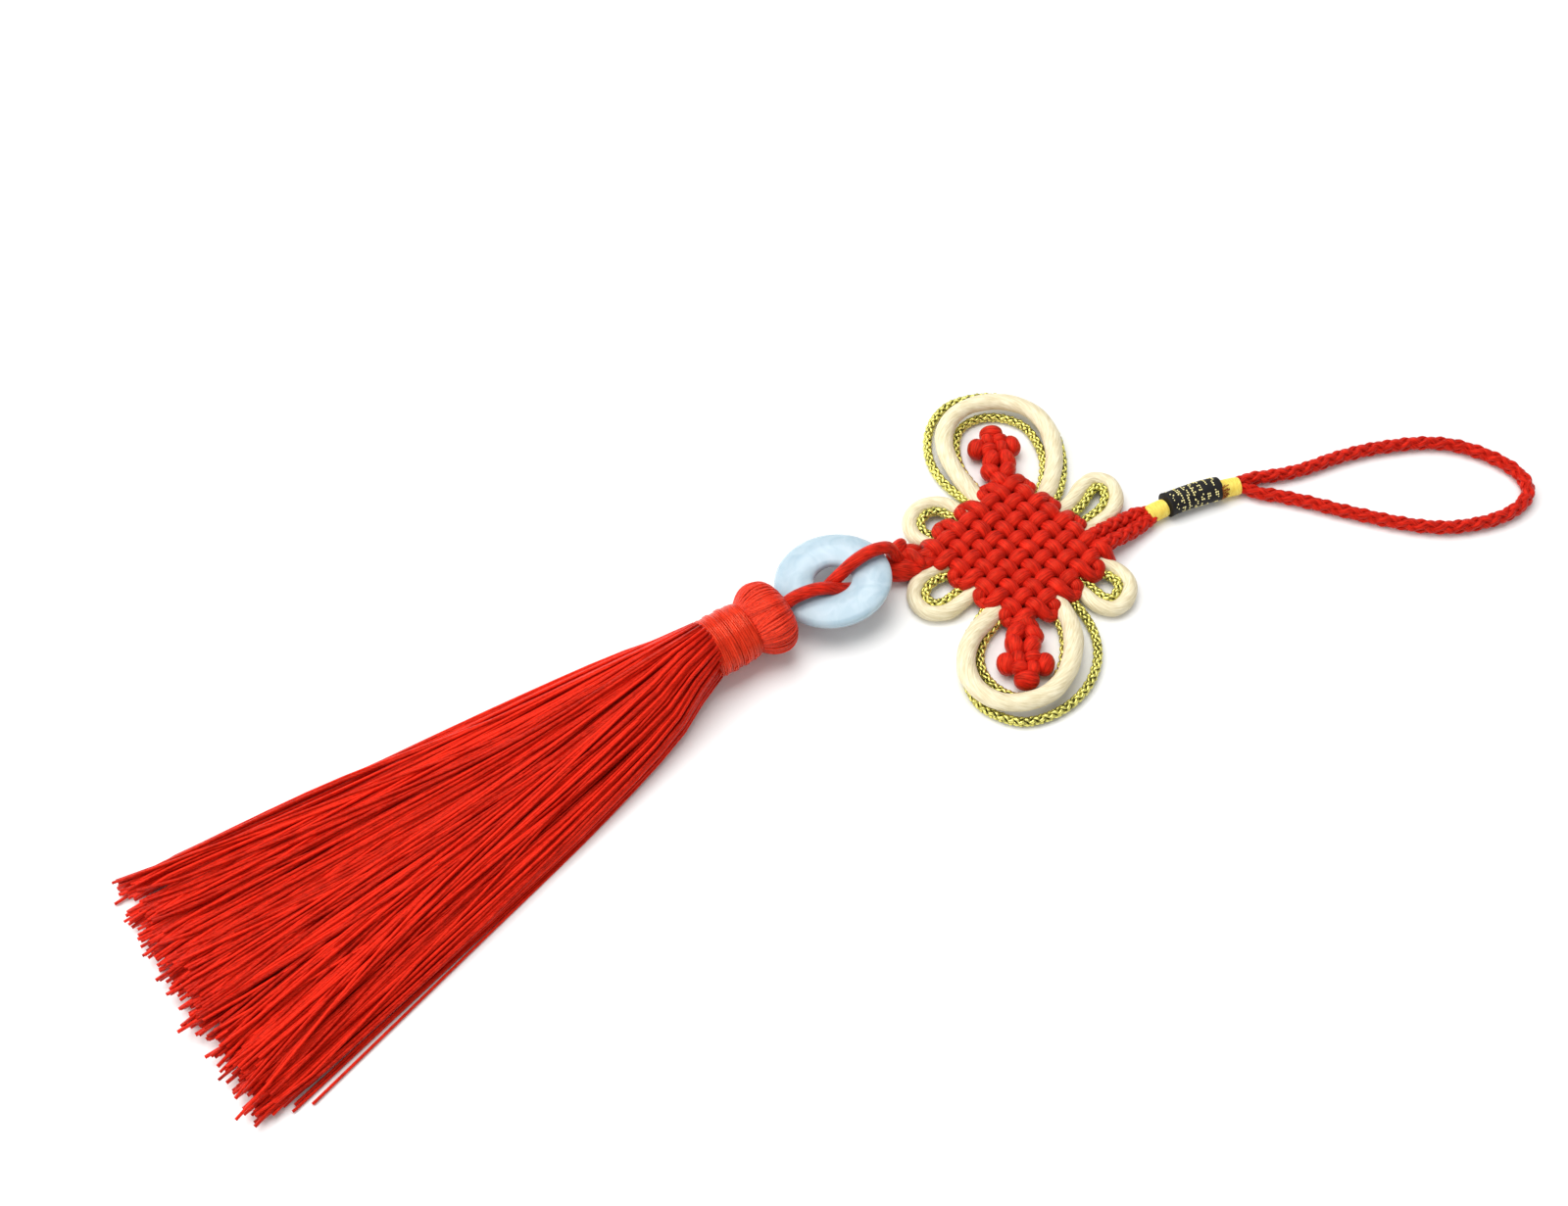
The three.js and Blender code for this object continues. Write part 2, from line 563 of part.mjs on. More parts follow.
function skirtRoot() {
  const sides = SIDES.skirtRoot;
  const positions = [];
  const index = [];
  for (const { distance, wide, thick, z } of ROOT_SECTIONS) {
    for (let k = 0; k < sides; k += 1) {
      const angle = (k + 0.5) * 2 * Math.PI / sides;
      const point = alongSkirt(distance, wide / 2 * Math.cos(angle), z + thick / 2 * Math.sin(angle));
      positions.push(point.x, point.y, point.z);
    }
  }
  for (let ringNumber = 0; ringNumber < ROOT_SECTIONS.length - 1; ringNumber += 1) {
    for (let k = 0; k < sides; k += 1) {
      const a = ringNumber * sides + k;
      const b = ringNumber * sides + (k + 1) % sides;
      index.push(a, b, a + sides, b, b + sides, a + sides);
    }
  }
  const last = (ROOT_SECTIONS.length - 1) * sides;
  for (let k = 1; k < sides - 1; k += 1) {
    index.push(0, k + 1, k, last, last + k, last + k + 1);
  }
  const geometry = new THREE.BufferGeometry();
  geometry.setAttribute('position', new THREE.Float32BufferAttribute(positions, 3));
  geometry.setIndex(index);
  return toManifold(geometry);
}

// Three flat sides, the widest one down
function strandShape() {
  const half = STRAND.size / 2;
  return new THREE.Shape([
    new THREE.Vector2(half, half), new THREE.Vector2(-half, 0), new THREE.Vector2(half, -half),
  ]);
}

// Shares of the way from the root's face to the cut end: a strand's points, and where it has fallen flat
const STRAND_SHARES = [-0.02, 0.34, 1];
const FALLEN_SHARE = 1 / 2.2;

// Where strand column, row lies at a share of the way
function strandPoint(column, row, share) {
  const across = column / (STRAND.columns - 1) - 0.5;
  const stagger = (row % 2 - 0.5) * 0.5 / STRAND.columns;
  const sideways = mix(SKIRT.rootWide - SKIRT.rootMargin, SKIRT.endWide, share) * (across + stagger);
  const level = Math.floor(row / 2) * STRAND.level;
  const rootZ = rootFaceZ + (row - (STRAND.rows - 1) / 2) * STRAND.rowPitch;
  const stack = mix(row * STRAND.rowPitch, level, share);
  const rootFall = rootZ - row * STRAND.rowPitch - STRAND.size / 2;
  const fall = rootFall * Math.max(0, 1 - share / FALLEN_SHARE) ** 1.5;
  const bend = STRAND.bend * Math.sin(Math.PI * share) * (across - 0.5);
  const ragged = share < 1 ? 0 : STRAND.ragged * scatter(column + 31 * row);
  const reach = mix(SKIRT.rootLength, SKIRT.length, share) + ragged;
  return alongSkirt(reach, sideways + bend, STRAND.size / 2 + stack + fall);
}

function strand(column, row) {
  const route = STRAND_SHARES.map((share) => strandPoint(column, row, share).toArray());
  return toManifold(new THREE.ExtrudeGeometry(strandShape(), {
    steps: route.length - 1, bevelEnabled: false, extrudePath: new Route(route),
  }));
}

// A layer is narrower at the top and bottom of the root, which is a flattened oval
function columnsInRow(row) {
  const height = Math.abs(row - (STRAND.rows - 1) / 2) / (STRAND.rows / 2);
  const ovalness = 0.75;
  const keep = Math.sqrt(1 - ovalness * height ** 2);
  const missing = Math.round(STRAND.columns * (1 - keep) / 2);
  return [missing, STRAND.columns - 1 - missing];
}

function tasselSkirt() {
  const pieces = [skirtRoot()];
  for (let row = 0; row < STRAND.rows; row += 1) {
    const [first, last] = columnsInRow(row);
    for (let column = first; column <= last; column += 1) pieces.push(strand(column, row));
  }
  return join(pieces);
}

addPiece('tassel_skirt', tasselSkirt(), 'thread');

export default laid;
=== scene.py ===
# %% [markdown]
# # A chinese knot tassel, laid flat
# Nearly all of this ornament is cord and thread: satin cord tied into a woven knot, metallic braid
# beside it, a braided hanging loop, and a tassel of several hundred threads. The solids that come
# from the CAD frame say where each piece lies and how big it is. Here each one is dressed as what
# it is, so the script first loads that frame.

import math
import random

import bpy
import numpy as np
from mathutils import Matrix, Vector


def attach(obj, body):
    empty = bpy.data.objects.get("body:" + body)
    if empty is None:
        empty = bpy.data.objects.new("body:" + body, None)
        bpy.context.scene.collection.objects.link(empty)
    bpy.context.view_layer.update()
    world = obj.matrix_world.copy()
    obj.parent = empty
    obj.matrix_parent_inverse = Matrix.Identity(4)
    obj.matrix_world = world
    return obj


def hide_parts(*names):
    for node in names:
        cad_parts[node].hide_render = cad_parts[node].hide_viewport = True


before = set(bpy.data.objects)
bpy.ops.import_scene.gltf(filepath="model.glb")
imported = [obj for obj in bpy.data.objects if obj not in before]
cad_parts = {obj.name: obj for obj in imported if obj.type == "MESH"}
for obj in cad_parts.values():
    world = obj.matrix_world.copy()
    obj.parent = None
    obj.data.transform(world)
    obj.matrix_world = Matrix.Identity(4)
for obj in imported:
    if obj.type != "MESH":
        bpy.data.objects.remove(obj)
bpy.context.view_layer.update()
print("nodes in the frame:", len(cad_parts))

# %% [markdown]
# All sizes below are millimetres, measured from the middle of the woven knot, with X towards the
# hanging loop and Y away from the viewer. Blender works in metres in the frame's own axes, so one
# constant and one place turn the first into the second.

# %% Units
MM = 0.001
KNOT_PLACE = np.array([73.39, 43.56, 0.0])


def to_frame(points):
    """Millimetres round the knot's middle, turned into metres in the frame."""
    return (np.asarray(points, float) + KNOT_PLACE) * MM


# %% [markdown]
# ## The camera
# The photograph looks down at the table at 55 degrees, square to it, from about 45 cm. The lens
# follows from its focal length of 1800 pixels on a picture 1600 pixels wide.

# %% Camera
EYE = (-58.6, -264.6, 358.1)
ELEVATION = 55
PICTURE_WIDTH_PX = 1600
FOCAL_PX = 1800
SENSOR_MM = 36

bpy.ops.object.select_all(action="DESELECT")
bpy.ops.object.camera_add(location=to_frame(EYE), rotation=(math.radians(90 - ELEVATION), 0, 0))
camera = bpy.context.object
camera.data.sensor_width = SENSOR_MM
camera.data.lens = SENSOR_MM * FOCAL_PX / PICTURE_WIDTH_PX
camera.data.clip_start = 0.01
bpy.context.scene.camera = camera
print("lens", round(camera.data.lens, 2), "mm")

# %% [markdown]
# ## How a cord is drawn
# A cord follows a given route of points. A smooth curve that passes through each of them
# joins them without overshoot, because its pace follows the root of the gaps between them.
# Resampling it at an even step keeps the surface pattern even along its length.
# The tube itself is a mesh: rings of points round the route. It could be a bevelled curve, but a
# mesh can swell and narrow, as a soft cord does where another presses on it, and it can carry a
# UV map in millimetres, across and along the cord, which the fibres then follow.

# %% Routes
CURVE_STEPS = 12


def smooth(points):
    """A smooth line through the points: neighbours are blended, and the blends blended again."""
    p = np.asarray(points, float)
    p = np.vstack([2 * p[0] - p[1], p, 2 * p[-1] - p[-2]])
    line = [p[1]]
    for i in range(1, len(p) - 2):
        gaps = [max(1e-6, np.linalg.norm(p[i + k] - p[i + k - 1])) ** 0.5 for k in (0, 1, 2)]
        t0, t1 = 0.0, gaps[0]
        t2 = t1 + gaps[1]
        t3 = t2 + gaps[2]
        for t in np.linspace(t1, t2, CURVE_STEPS + 1)[1:]:
            a1 = ((t1 - t) * p[i - 1] + (t - t0) * p[i]) / (t1 - t0)
            a2 = ((t2 - t) * p[i] + (t - t1) * p[i + 1]) / (t2 - t1)
            a3 = ((t3 - t) * p[i + 1] + (t - t2) * p[i + 2]) / (t3 - t2)
            b1 = ((t2 - t) * a1 + (t - t0) * a2) / (t2 - t0)
            b2 = ((t3 - t) * a2 + (t - t1) * a3) / (t3 - t1)
            line.append(((t2 - t) * b1 + (t - t1) * b2) / (t2 - t1))
    return np.array(line)


def distances(line):
    """How far along the line each of its points is."""
    steps = np.linalg.norm(np.diff(line, axis=0), axis=1)
    return np.concatenate([[0.0], np.cumsum(steps)])


def even(line, step):
    """The line again, with points an even step apart."""
    along = distances(line)
    count = max(3, int(round(along[-1] / step)) + 1)
    places = np.linspace(0, along[-1], count)
    return np.column_stack([np.interp(places, along, line[:, k]) for k in range(3)])


def route(points, step):
    """An even, smooth line through given points."""
    return even(smooth(points), step)


# %% Directions
UP = np.array([0.0, 0.0, 1.0])


def unit(vectors):
    """The vectors, each made one long."""
    return vectors / np.maximum(1e-9, np.linalg.norm(vectors, axis=-1, keepdims=True))


def axes(bearing):
    """The ways ahead and to the left on the table, at a bearing in degrees."""
    heading = math.radians(bearing)
    cos, sin = math.cos(heading), math.sin(heading)
    return np.array([cos, sin, 0]), np.array([-sin, cos, 0])


def directions(line):
    """The way the line runs at each point."""
    return unit(np.gradient(line, axis=0))


def upright(line):
    """For each point, the way that is both square to the line and as near to up as can be."""
    tangent = directions(line)
    return unit(UP - tangent * tangent[:, 2:3])


# %% [markdown]
# One function builds every cord and thread of the piece: it takes strands, each a line with its
# width and depth, and lays a ring of points round each point of the line. The seam of the UV map
# runs along the underside. Each strand also gets a number between 0 and 1, its tint, so that
# neighbouring threads are not all the same shade. The tint may change along a strand, for where it
# dives under its neighbours and less light reaches it. And each strand starts further on in the
# pattern, so that the streaks of neighbours don't line up.

# %% Tubes
PATTERN_SHIFT = 17.3


def strand(line, wide, deep=None, normals=None, tint=0.5):
    """What one tube needs. Wide and deep are numbers, or one for each point of the line."""
    size = len(line)
    wide = np.broadcast_to(wide, size)
    deep = wide if deep is None else np.broadcast_to(deep, size)
    return {"line": line, "wide": wide, "deep": deep, "tint": tint,
            "normals": upright(line) if normals is None else normals}


def ring_points(part, sides):
    """The points round each place on the strand's line, from its underside round to it again."""
    tangent = directions(part["line"])
    normal = part["normals"]
    side = unit(np.cross(normal, tangent))
    angles = -math.pi / 2 + np.arange(sides) * 2 * math.pi / sides
    across = part["wide"][:, None, None] / 2 * np.cos(angles)[None, :, None] * side[:, None, :]
    above = part["deep"][:, None, None] / 2 * np.sin(angles)[None, :, None] * normal[:, None, :]
    return part["line"][:, None, :] + across + above


def tubes(name, parts, sides):
    """One mesh of closed tubes, in the frame, with its UV map in millimetres."""
    points, faces, uvs, tints = [], [], [], []
    start = 0
    for number, part in enumerate(parts):
        rings = ring_points(part, sides)
        count = len(rings)
        points.append(rings.reshape(-1, 3))
        tints.append(np.repeat(np.broadcast_to(part["tint"], count), sides))
        along = distances(part["line"]) + number * PATTERN_SHIFT
        girth = math.pi * (part["wide"].mean() + part["deep"].mean()) / 2
        for i in range(count - 1):
            for k in range(sides):
                k2 = (k + 1) % sides
                low, high = start + i * sides, start + (i + 1) * sides
                faces.append((low + k, low + k2, high + k2, high + k))
                u1, u2 = girth * k / sides, girth * (k + 1) / sides
                uvs += [(u1, along[i]), (u2, along[i]), (u2, along[i + 1]), (u1, along[i + 1])]
        last = start + (count - 1) * sides
        faces.append(tuple(start + k for k in reversed(range(sides))))
        faces.append(tuple(last + k for k in range(sides)))
        uvs += [(0.0, along[0])] * sides + [(0.0, along[-1])] * sides
        start += count * sides
    mesh = bpy.data.meshes.new(name)
    mesh.from_pydata(to_frame(np.vstack(points)).tolist(), [], faces)
    layer = mesh.uv_layers.new(name="lay")
    layer.data.foreach_set("uv", np.array(uvs, np.float32).ravel())
    tint = mesh.attributes.new("tint", "FLOAT", "POINT")
    tint.data.foreach_set("value", np.concatenate(tints).astype(np.float32))
    mesh.polygons.foreach_set("use_smooth", [True] * len(faces))
    mesh.update()
    piece = bpy.data.objects.new(name, mesh)
    bpy.context.scene.collection.objects.link(piece)
    return piece


# %% [markdown]
# A soft lump of cord, as in the small knots, is the same tube with a round outline along its
# length: thin at both ends and full in the middle, so its fibres run from tip to tip.

# %% Lumps
LUMP_RINGS = 19
LUMP_TIP = 0.06       # radians of the outline left off at each tip
LUMP_FULLNESS = 0.8   # below 1 the outline is fuller than a circle


def lump(x, y, z, along, across, tall, bearing, tint):
    """A strand of the given length that swells to full width in the middle."""
    turn = np.linspace(LUMP_TIP, math.pi - LUMP_TIP, LUMP_RINGS)
    reach = -np.cos(turn) * along / 2
    line = np.array([x, y, z]) + np.outer(reach, axes(bearing)[0])
    outline = np.sin(turn) ** LUMP_FULLNESS
    return strand(line, across * outline, tall * outline, tint=tint)


# %% [markdown]
# ## Materials
# Colours are taken down as sRGB hex values, which is how one reads them off a screen, and one
# function turns them linear, because Blender's sockets hold linear light. A second function adds a
# node with its settings, its socket values and its links.

# %% Colour and nodes
def colour(code):
    """An sRGB hex value such as D8231B as linear red, green, blue and alpha."""
    parts = [int(code[k:k + 2], 16) / 255 for k in (0, 2, 4)]
    linear = [c / 12.92 if c <= 0.04045 else ((c + 0.055) / 1.055) ** 2.4 for c in parts]
    return (*linear, 1.0)


def add_node(material, kind, values=(), links=(), **settings):
    """Adds a node: settings are its own properties, values go on sockets, links join outputs."""
    tree = material.node_tree
    made = tree.nodes.new(kind)
    for key, value in settings.items():
        setattr(made, key, value)
    for socket, value in dict(values).items():
        made.inputs[socket].default_value = value
    for socket, output in dict(links).items():
        tree.links.new(output, made.inputs[socket])
    return made


def new_material(name, **shader):
    """A material with its Principled shader's own sockets set."""
    material = bpy.data.materials.new(name)
    material.use_nodes = True
    surface = material.node_tree.nodes["Principled BSDF"]
    for socket, value in shader.items():
        surface.inputs[socket.replace("_", " ")].default_value = value
    return material


# %% [markdown]
# Every finish here is two tones and a little relief, driven by noise. Four small functions add
# those: a noise, a change of range, the blend of two colours, and the bump.

# %% Noise, tones and relief
MIX_A, MIX_B, MIX_RESULT = 6, 7, 2


def noise(material, vector, dimensions="2D", **values):
    """A noise node's value over the given coordinates."""
    made = add_node(material, "ShaderNodeTexNoise", values, {"Vector": vector},
                    noise_dimensions=dimensions)
    return made.outputs["Fac"]


def remap(material, value, low, high, to_low=0.0, to_high=1.0):
    """A value from low to high, taken to a new range."""
    made = add_node(material, "ShaderNodeMapRange", links={"Value": value},
                    values={"From Min": low, "From Max": high, "To Min": to_low, "To Max": to_high})
    return made.outputs["Result"]


def two_tone(material, dark, light, share):
    """Blends the surface's colour from dark to light."""
    blend = add_node(material, "ShaderNodeMix", {MIX_A: colour(dark), MIX_B: colour(light)},
                     {0: share}, data_type="RGBA")
    surface = material.node_tree.nodes["Principled BSDF"]
    material.node_tree.links.new(blend.outputs[MIX_RESULT], surface.inputs["Base Color"])


def relief(material, height, strength, depth):
    """Bumps the surface, so many millimetres deep."""
    bump = add_node(material, "ShaderNodeBump", {"Strength": strength, "Distance": depth * MM},
                    {"Height": height})
    surface = material.node_tree.nodes["Principled BSDF"]
    material.node_tree.links.new(bump.outputs["Normal"], surface.inputs["Normal"])


# %% [markdown]
# Satin cord and tassel thread are both bundles of fine polyester filament. What the eye reads is
# the filament's lie: long thin streaks, light on top and deep red in the grooves. A noise that is
# stretched along the UV map gives the streaks, in real sizes, and drives both colour and bump, so
# the colour is painted darker in the bump's grooves: painted shade over the streaks' own tone. The
# filaments themselves are 0.02 mm thick, far too fine to show, so the streaks stand for small
# bundles of them. A softer noise adds the slow change of shade along a cord. The filament itself is
# clear and dyed through, so its glints are coloured too, and they get a colour of their own.

# %% Filament
STREAK_SPAN, SLOW_SPAN = (0.3, 0.7), (0.25, 0.75)   # the part of each noise's range that shows
SLOW_SHADE = 0.12
STREAK_RELIEF = 0.7


def filament(name, light, dark, glint, streak, run, slant=0.0, depth=0.05, tint_share=0.35, **shader):
    """Filament cord: streaks so wide and so long in mm, at a slant to the cord's length."""
    material = new_material(name, Specular_Tint=colour(glint), Sheen_Tint=colour(glint), **shader)
    lay = add_node(material, "ShaderNodeUVMap", uv_map="lay").outputs["UV"]
    turned = add_node(material, "ShaderNodeMapping", {"Rotation": (0, 0, math.radians(slant))},
                      {"Vector": lay}, vector_type="POINT")
    scaled = add_node(material, "ShaderNodeMapping", {"Scale": (1 / streak, 1 / run, 1)},
                      {"Vector": turned.outputs["Vector"]}, vector_type="POINT")
    streaks = noise(material, scaled.outputs["Vector"], Scale=1.0, Detail=3.0, Roughness=0.55)
    slow = noise(material, lay, Scale=0.35, Detail=1.0)
    tint = add_node(material, "ShaderNodeAttribute", attribute_name="tint")
    # The streak noise that raises the bump also sets the colour, so ridges come out lighter and grooves
    # darker: painted shade. The tint attribute adds each strand's random tone and the painted shade
    # where it lies low.
    fine = remap(material, streaks, *STREAK_SPAN, 0.0, 1 - tint_share)
    whole = add_node(material, "ShaderNodeMath", {1: tint_share}, {0: tint.outputs["Fac"], 2: fine},
                     operation="MULTIPLY_ADD")
    broad = remap(material, slow, *SLOW_SPAN, -SLOW_SHADE, SLOW_SHADE)
    share = add_node(material, "ShaderNodeMath", (), {0: whole.outputs[0], 1: broad},
                     operation="ADD", use_clamp=True)
    two_tone(material, dark, light, share.outputs[0])
    relief(material, streaks, STREAK_RELIEF, depth)
    return material


RED_SATIN = filament("red polyester satin cord", "E42818", "860A06", "FF8058", streak=0.34, run=3.0,
                     slant=14, depth=0.3, tint_share=0.25, Roughness=0.38, Sheen_Weight=0.08)
RED_BRAID = filament("red braided polyester cord", "DC2618", "860C08", "FF6E4C", streak=0.3,
                     run=2.4, slant=4, depth=0.12, tint_share=0.2, Roughness=0.44, Sheen_Weight=0.08)
TASSEL_THREAD = filament("glossy rayon tassel thread", "F02C18", "7C0301", "FF6E50", streak=0.3,
                         run=0.9, slant=30, depth=0.14, tint_share=0.6, Roughness=0.34)
# The head's threads are the skirt's thread, given lighter tones: painted light on the hank where it
# bends over the dome.
HANK_THREAD_PAINTED_LIGHTER = filament("glossy rayon tassel thread, painted lighter on the head", "F83C22", "8C0A04", "FFB090", streak=0.3,
                       run=0.9, slant=30, depth=0.14, tint_share=0.5, Roughness=0.32)
WOUND_THREAD = filament("glossy wound rayon thread", "FF4424", "840A04", "FFB090", streak=0.2,
                        run=5.0, slant=4, depth=0.05, tint_share=0.5, Roughness=0.2)
BEIGE_SATIN = filament("beige polyester satin cord", "F2E9CA", "CEBE94", "FFF8E6", streak=0.34,
                       run=4.0, slant=15, depth=0.3, tint_share=0.2, Roughness=0.42,
                       Sheen_Weight=0.08)
YELLOW_THREAD = filament("yellow polyester binding thread", "FFEE78", "E6BE40", "FFF4C0",
                         streak=0.2, run=1.6, slant=16, depth=0.06, Roughness=0.4)
print("filament materials made")

# %% [markdown]
# The gold braid is plaited from thin flat metallised film, which is why it glints in small hard
# cells of yellow-green between dark gaps. The plait is real geometry further down. The film's own
# finish is a metal with low roughness, broken up by fine wraps across the yarn and by patches
# that are duller or darker where the film has twisted. Its colour also follows each strand's tint:
# painted highlights on the strands' crests, and painted shade low in the plait and on the dark core.

# %% Metallised film
# The span runs from dark film, twists and painted shade low in the plait, to bright film with painted
# highlights on the crests.
FILM_LIGHT_AND_SHADE_SPAN = (0.78, 1.35)   # of noise and tint together, from dark twist to bright film


def metal_film(name):
    """Flat metallised film, wrapped round a core: yellow-green gold with darker twists, and painted
    light and shade from each strand's tint.
    """
    material = new_material(name, Metallic=0.9, Roughness=0.24)
    lay = add_node(material, "ShaderNodeUVMap", uv_map="lay").outputs["UV"]
    wraps = add_node(material, "ShaderNodeTexWave", {"Scale": 1.1, "Distortion": 1.2, "Detail": 1.0},
                     {"Vector": lay}, wave_type="BANDS", bands_direction="Y")
    patches = noise(material, lay, Scale=1.3, Detail=2.0)
    tint = add_node(material, "ShaderNodeAttribute", attribute_name="tint")
    both = add_node(material, "ShaderNodeMath", (), {0: patches, 1: tint.outputs["Fac"]},
                    operation="ADD")
    two_tone(material, "2C2A06", "F4EC80", remap(material, both.outputs[0], *FILM_LIGHT_AND_SHADE_SPAN))
    relief(material, wraps.outputs["Fac"], 0.5, 0.05)
    return material


GOLD_FILM = metal_film("gold metallised film braid")
CREAM_THREAD = filament("cream brocade thread", "FFF4B4", "D8C878", "FFF8D8", streak=0.2, run=0.8,
                        Roughness=0.4)


# %% Finishing a piece
def dress(piece, material, slot, *nodes):
    """Gives a piece its finish and its place in the frame, and hides the solids it stands for."""
    piece.data.materials.clear()
    piece.data.materials.append(material)
    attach(piece, "root")
    if nodes:
        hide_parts(*nodes)
    print(piece.name, len(piece.data.polygons), "faces")


# %% [markdown]
# ## Braided cord
# A round braid has two families of strands that circle the core, one to the right and one to the
# left, and pass over and under each other. Where strand i of one family meets strand j of the
# other, its height is one sign of the same cosine, so one formula gives every crossing. The same
# function makes the red braid of the hanging loop and the neck, and the gold braid.

# %% Braid
CARRIERS = 8
MIDDLE, SWING, THICK = 0.29, 0.08, 0.28   # a strand's radius, swing and thickness, in diameters
COVER = 0.94                              # how much of its room round the braid a strand fills
CORE_FILL = 1.3
# A strand's random tint, and how far its tint rises on its crests and falls where it dives: painted
# light and shade.
STRAND_TINT, CREST_PAINTED_LIGHT_AND_SHADE = (0.45, 0.65), 0.35


def squeezed(line, free, tied, room, at_start=True):
    """Diameters along a cord that is free in the middle and tied tight within some room of an end."""
    along = distances(line)
    share = np.minimum(1, (along[-1] - along) / room)
    if at_start:
        share = np.minimum(share, along / room)
    return tied + (free - tied) * np.sin(share * math.pi / 2)


def braid(line, diameter, lay_length, seed):
    """Strands of a round braid along a line: lay_length is one full turn of a strand."""
    diameter = np.broadcast_to(diameter, len(line))
    rng = random.Random(seed)
    along = distances(line)
    tangent = directions(line)
    normal = upright(line)
    side = unit(np.cross(normal, tangent))
    middle, swing, thick = MIDDLE * diameter, SWING * diameter, THICK * diameter
    per_family = CARRIERS // 2
    slope = np.arctan(2 * math.pi * middle / lay_length)
    width = 2 * math.pi * middle / per_family * np.cos(slope) * COVER
    parts = []
    for family in (1, -1):
        for carrier in range(per_family):
            angle = family * 2 * math.pi * along / lay_length + carrier * 2 * math.pi / per_family
            outward = np.cos(angle)[:, None] * side + np.sin(angle)[:, None] * normal
            crest = family * np.cos(per_family * angle)
            parts.append(strand(line + (middle + swing * crest)[:, None] * outward, width, thick,
                                normals=outward, tint=rng.uniform(*STRAND_TINT) + CREST_PAINTED_LIGHT_AND_SHADE * crest))
    # The core has the darkest tint: painted shade in the gaps between the strands.
    core = strand(line, CORE_FILL * middle, tint=0.0)
    return [core, *parts]


# %% [markdown]
# ## Hanging loop
# A free cord comes first of all the pieces, because its room on the table is checked. It is one
# braided cord, about 3.4 mm thick, that leaves the binding, lies in a long loose loop, and goes
# back into the binding beside itself. It is seen from end to end, so its length is the real one.

# %% Binding's own line
SLEEVE_START = (34.2, 11.8)
SLEEVE_BEARING = 21.5
SLEEVE_BOW = 1.1
WRAP_LENGTH = 5.2
RIBBON_LENGTH = 15.4
GAP = 0.3
SLEEVE_LENGTH = 2 * WRAP_LENGTH + RIBBON_LENGTH + 2 * GAP
BRAID_PLUMP = 3.75
TIED_WIDE = 2.5
TIED_OFFSET = 1.2
TIED_ROOM = 8.0
WRAP_TALL = 4.6


def along_sleeve(distance, sideways=0.0, z=0.0):
    """A point so far along the bound sleeve, whose line bows a little to the left."""
    ahead, left = axes(SLEEVE_BEARING)
    share = min(1.0, max(0.0, distance / SLEEVE_LENGTH))
    off = sideways + 4 * SLEEVE_BOW * share * (1 - share)
    return np.array([*SLEEVE_START, z]) + distance * ahead + off * left


# %% Hanging loop
LOOP_HEIGHT = 1.95
HANG_LOOP = [
    (62.6, 24.2), (68.5, 25.2), (73.8, 26.4), (79.3, 28.4), (84.9, 30.8), (90.4, 32.7), (95.8, 34.2),
    (101.2, 35.2), (106.5, 36.0), (111.7, 36.2), (116.7, 35.6), (121.5, 34.0), (126.1, 31.6),
    (130.4, 28.2), (133.0, 24.2), (133.4, 20.6), (131.9, 17.2), (128.3, 13.8), (123.9, 11.4),
    (118.5, 9.6), (110.8, 8.3), (103.4, 8.7), (96.2, 10.2), (91.5, 11.5), (86.8, 12.9), (82.0, 14.4),
    (77.3, 16.0), (72.5, 17.4), (67.8, 18.6), (63.8, 19.3),
]
LOOP_EXIT = SLEEVE_LENGTH - 1.6
LOOP_STEP = 0.45
LOOP_LAY = 19.0

loop_points = [along_sleeve(LOOP_EXIT, TIED_OFFSET, WRAP_TALL / 2),
               along_sleeve(LOOP_EXIT + 2.4, TIED_OFFSET, WRAP_TALL / 2)]
loop_points += [(x, y, LOOP_HEIGHT) for x, y in HANG_LOOP]
loop_points += [along_sleeve(LOOP_EXIT + 2.4, -TIED_OFFSET, WRAP_TALL / 2),
                along_sleeve(LOOP_EXIT, -TIED_OFFSET, WRAP_TALL / 2)]
loop_line = route(loop_points, LOOP_STEP)
loop_wide = squeezed(loop_line, BRAID_PLUMP, TIED_WIDE, TIED_ROOM)
hang_loop = tubes("hanging_loop", braid(loop_line, loop_wide, LOOP_LAY, seed=11), sides=8)
dress(hang_loop, RED_BRAID, "red_braid", "hang_loop")

# %% [markdown]
# ## Woven knot
# The square is tied from one satin cord that runs back and forth in both directions, over one and
# under the next. Each run here is a tube whose height swings between the upper and the lower
# level. Where it passes over, it swells into a plump pillow, and where it dives, its neighbours
# squeeze it narrow. At the edge two runs meet in a turn. Small shifts keep it hand-tied.

# %% Woven knot
ROWS = 8
PITCH = 4.2
EDGE = ROWS * PITCH / 2
LEVEL = {"over": 4.55, "under": 1.75, "middle": 3.1, "turn": 2.7}
RUN_STEP = 0.3
RUN_WIDE = {"over": 3.85, "dive": 3.0}
RUN_DEEP = 3.2
TURN_REACH = (1.1, 2.0)
WOBBLE = 0.16
LIFT = 0.8                     # share of the wobble that goes up and down
CREST = (0.26, "over", -0.36)  # half a crossing's length in pitches, its level, and its shoulders
DIP = (0.16, "under", 0.1)
TURN_SHAPE = [(0.35, 0.06), (0.85, 0.22), (1, 0.5), (0.93, 0.64)]   # reaches out, pitches aside
TURN_START = 0.5
CORNER_ROWS = (0, ROWS - 1)
# A run's random tint on its crests, and the share of it kept in the dips: painted shade where it dives
# under.
RUN_TINT, DIP_PAINTED_SHADE = (0.5, 0.8), 0.3   # what a run shows on its crests, and its share in the dips
weave_rng = random.Random(3)


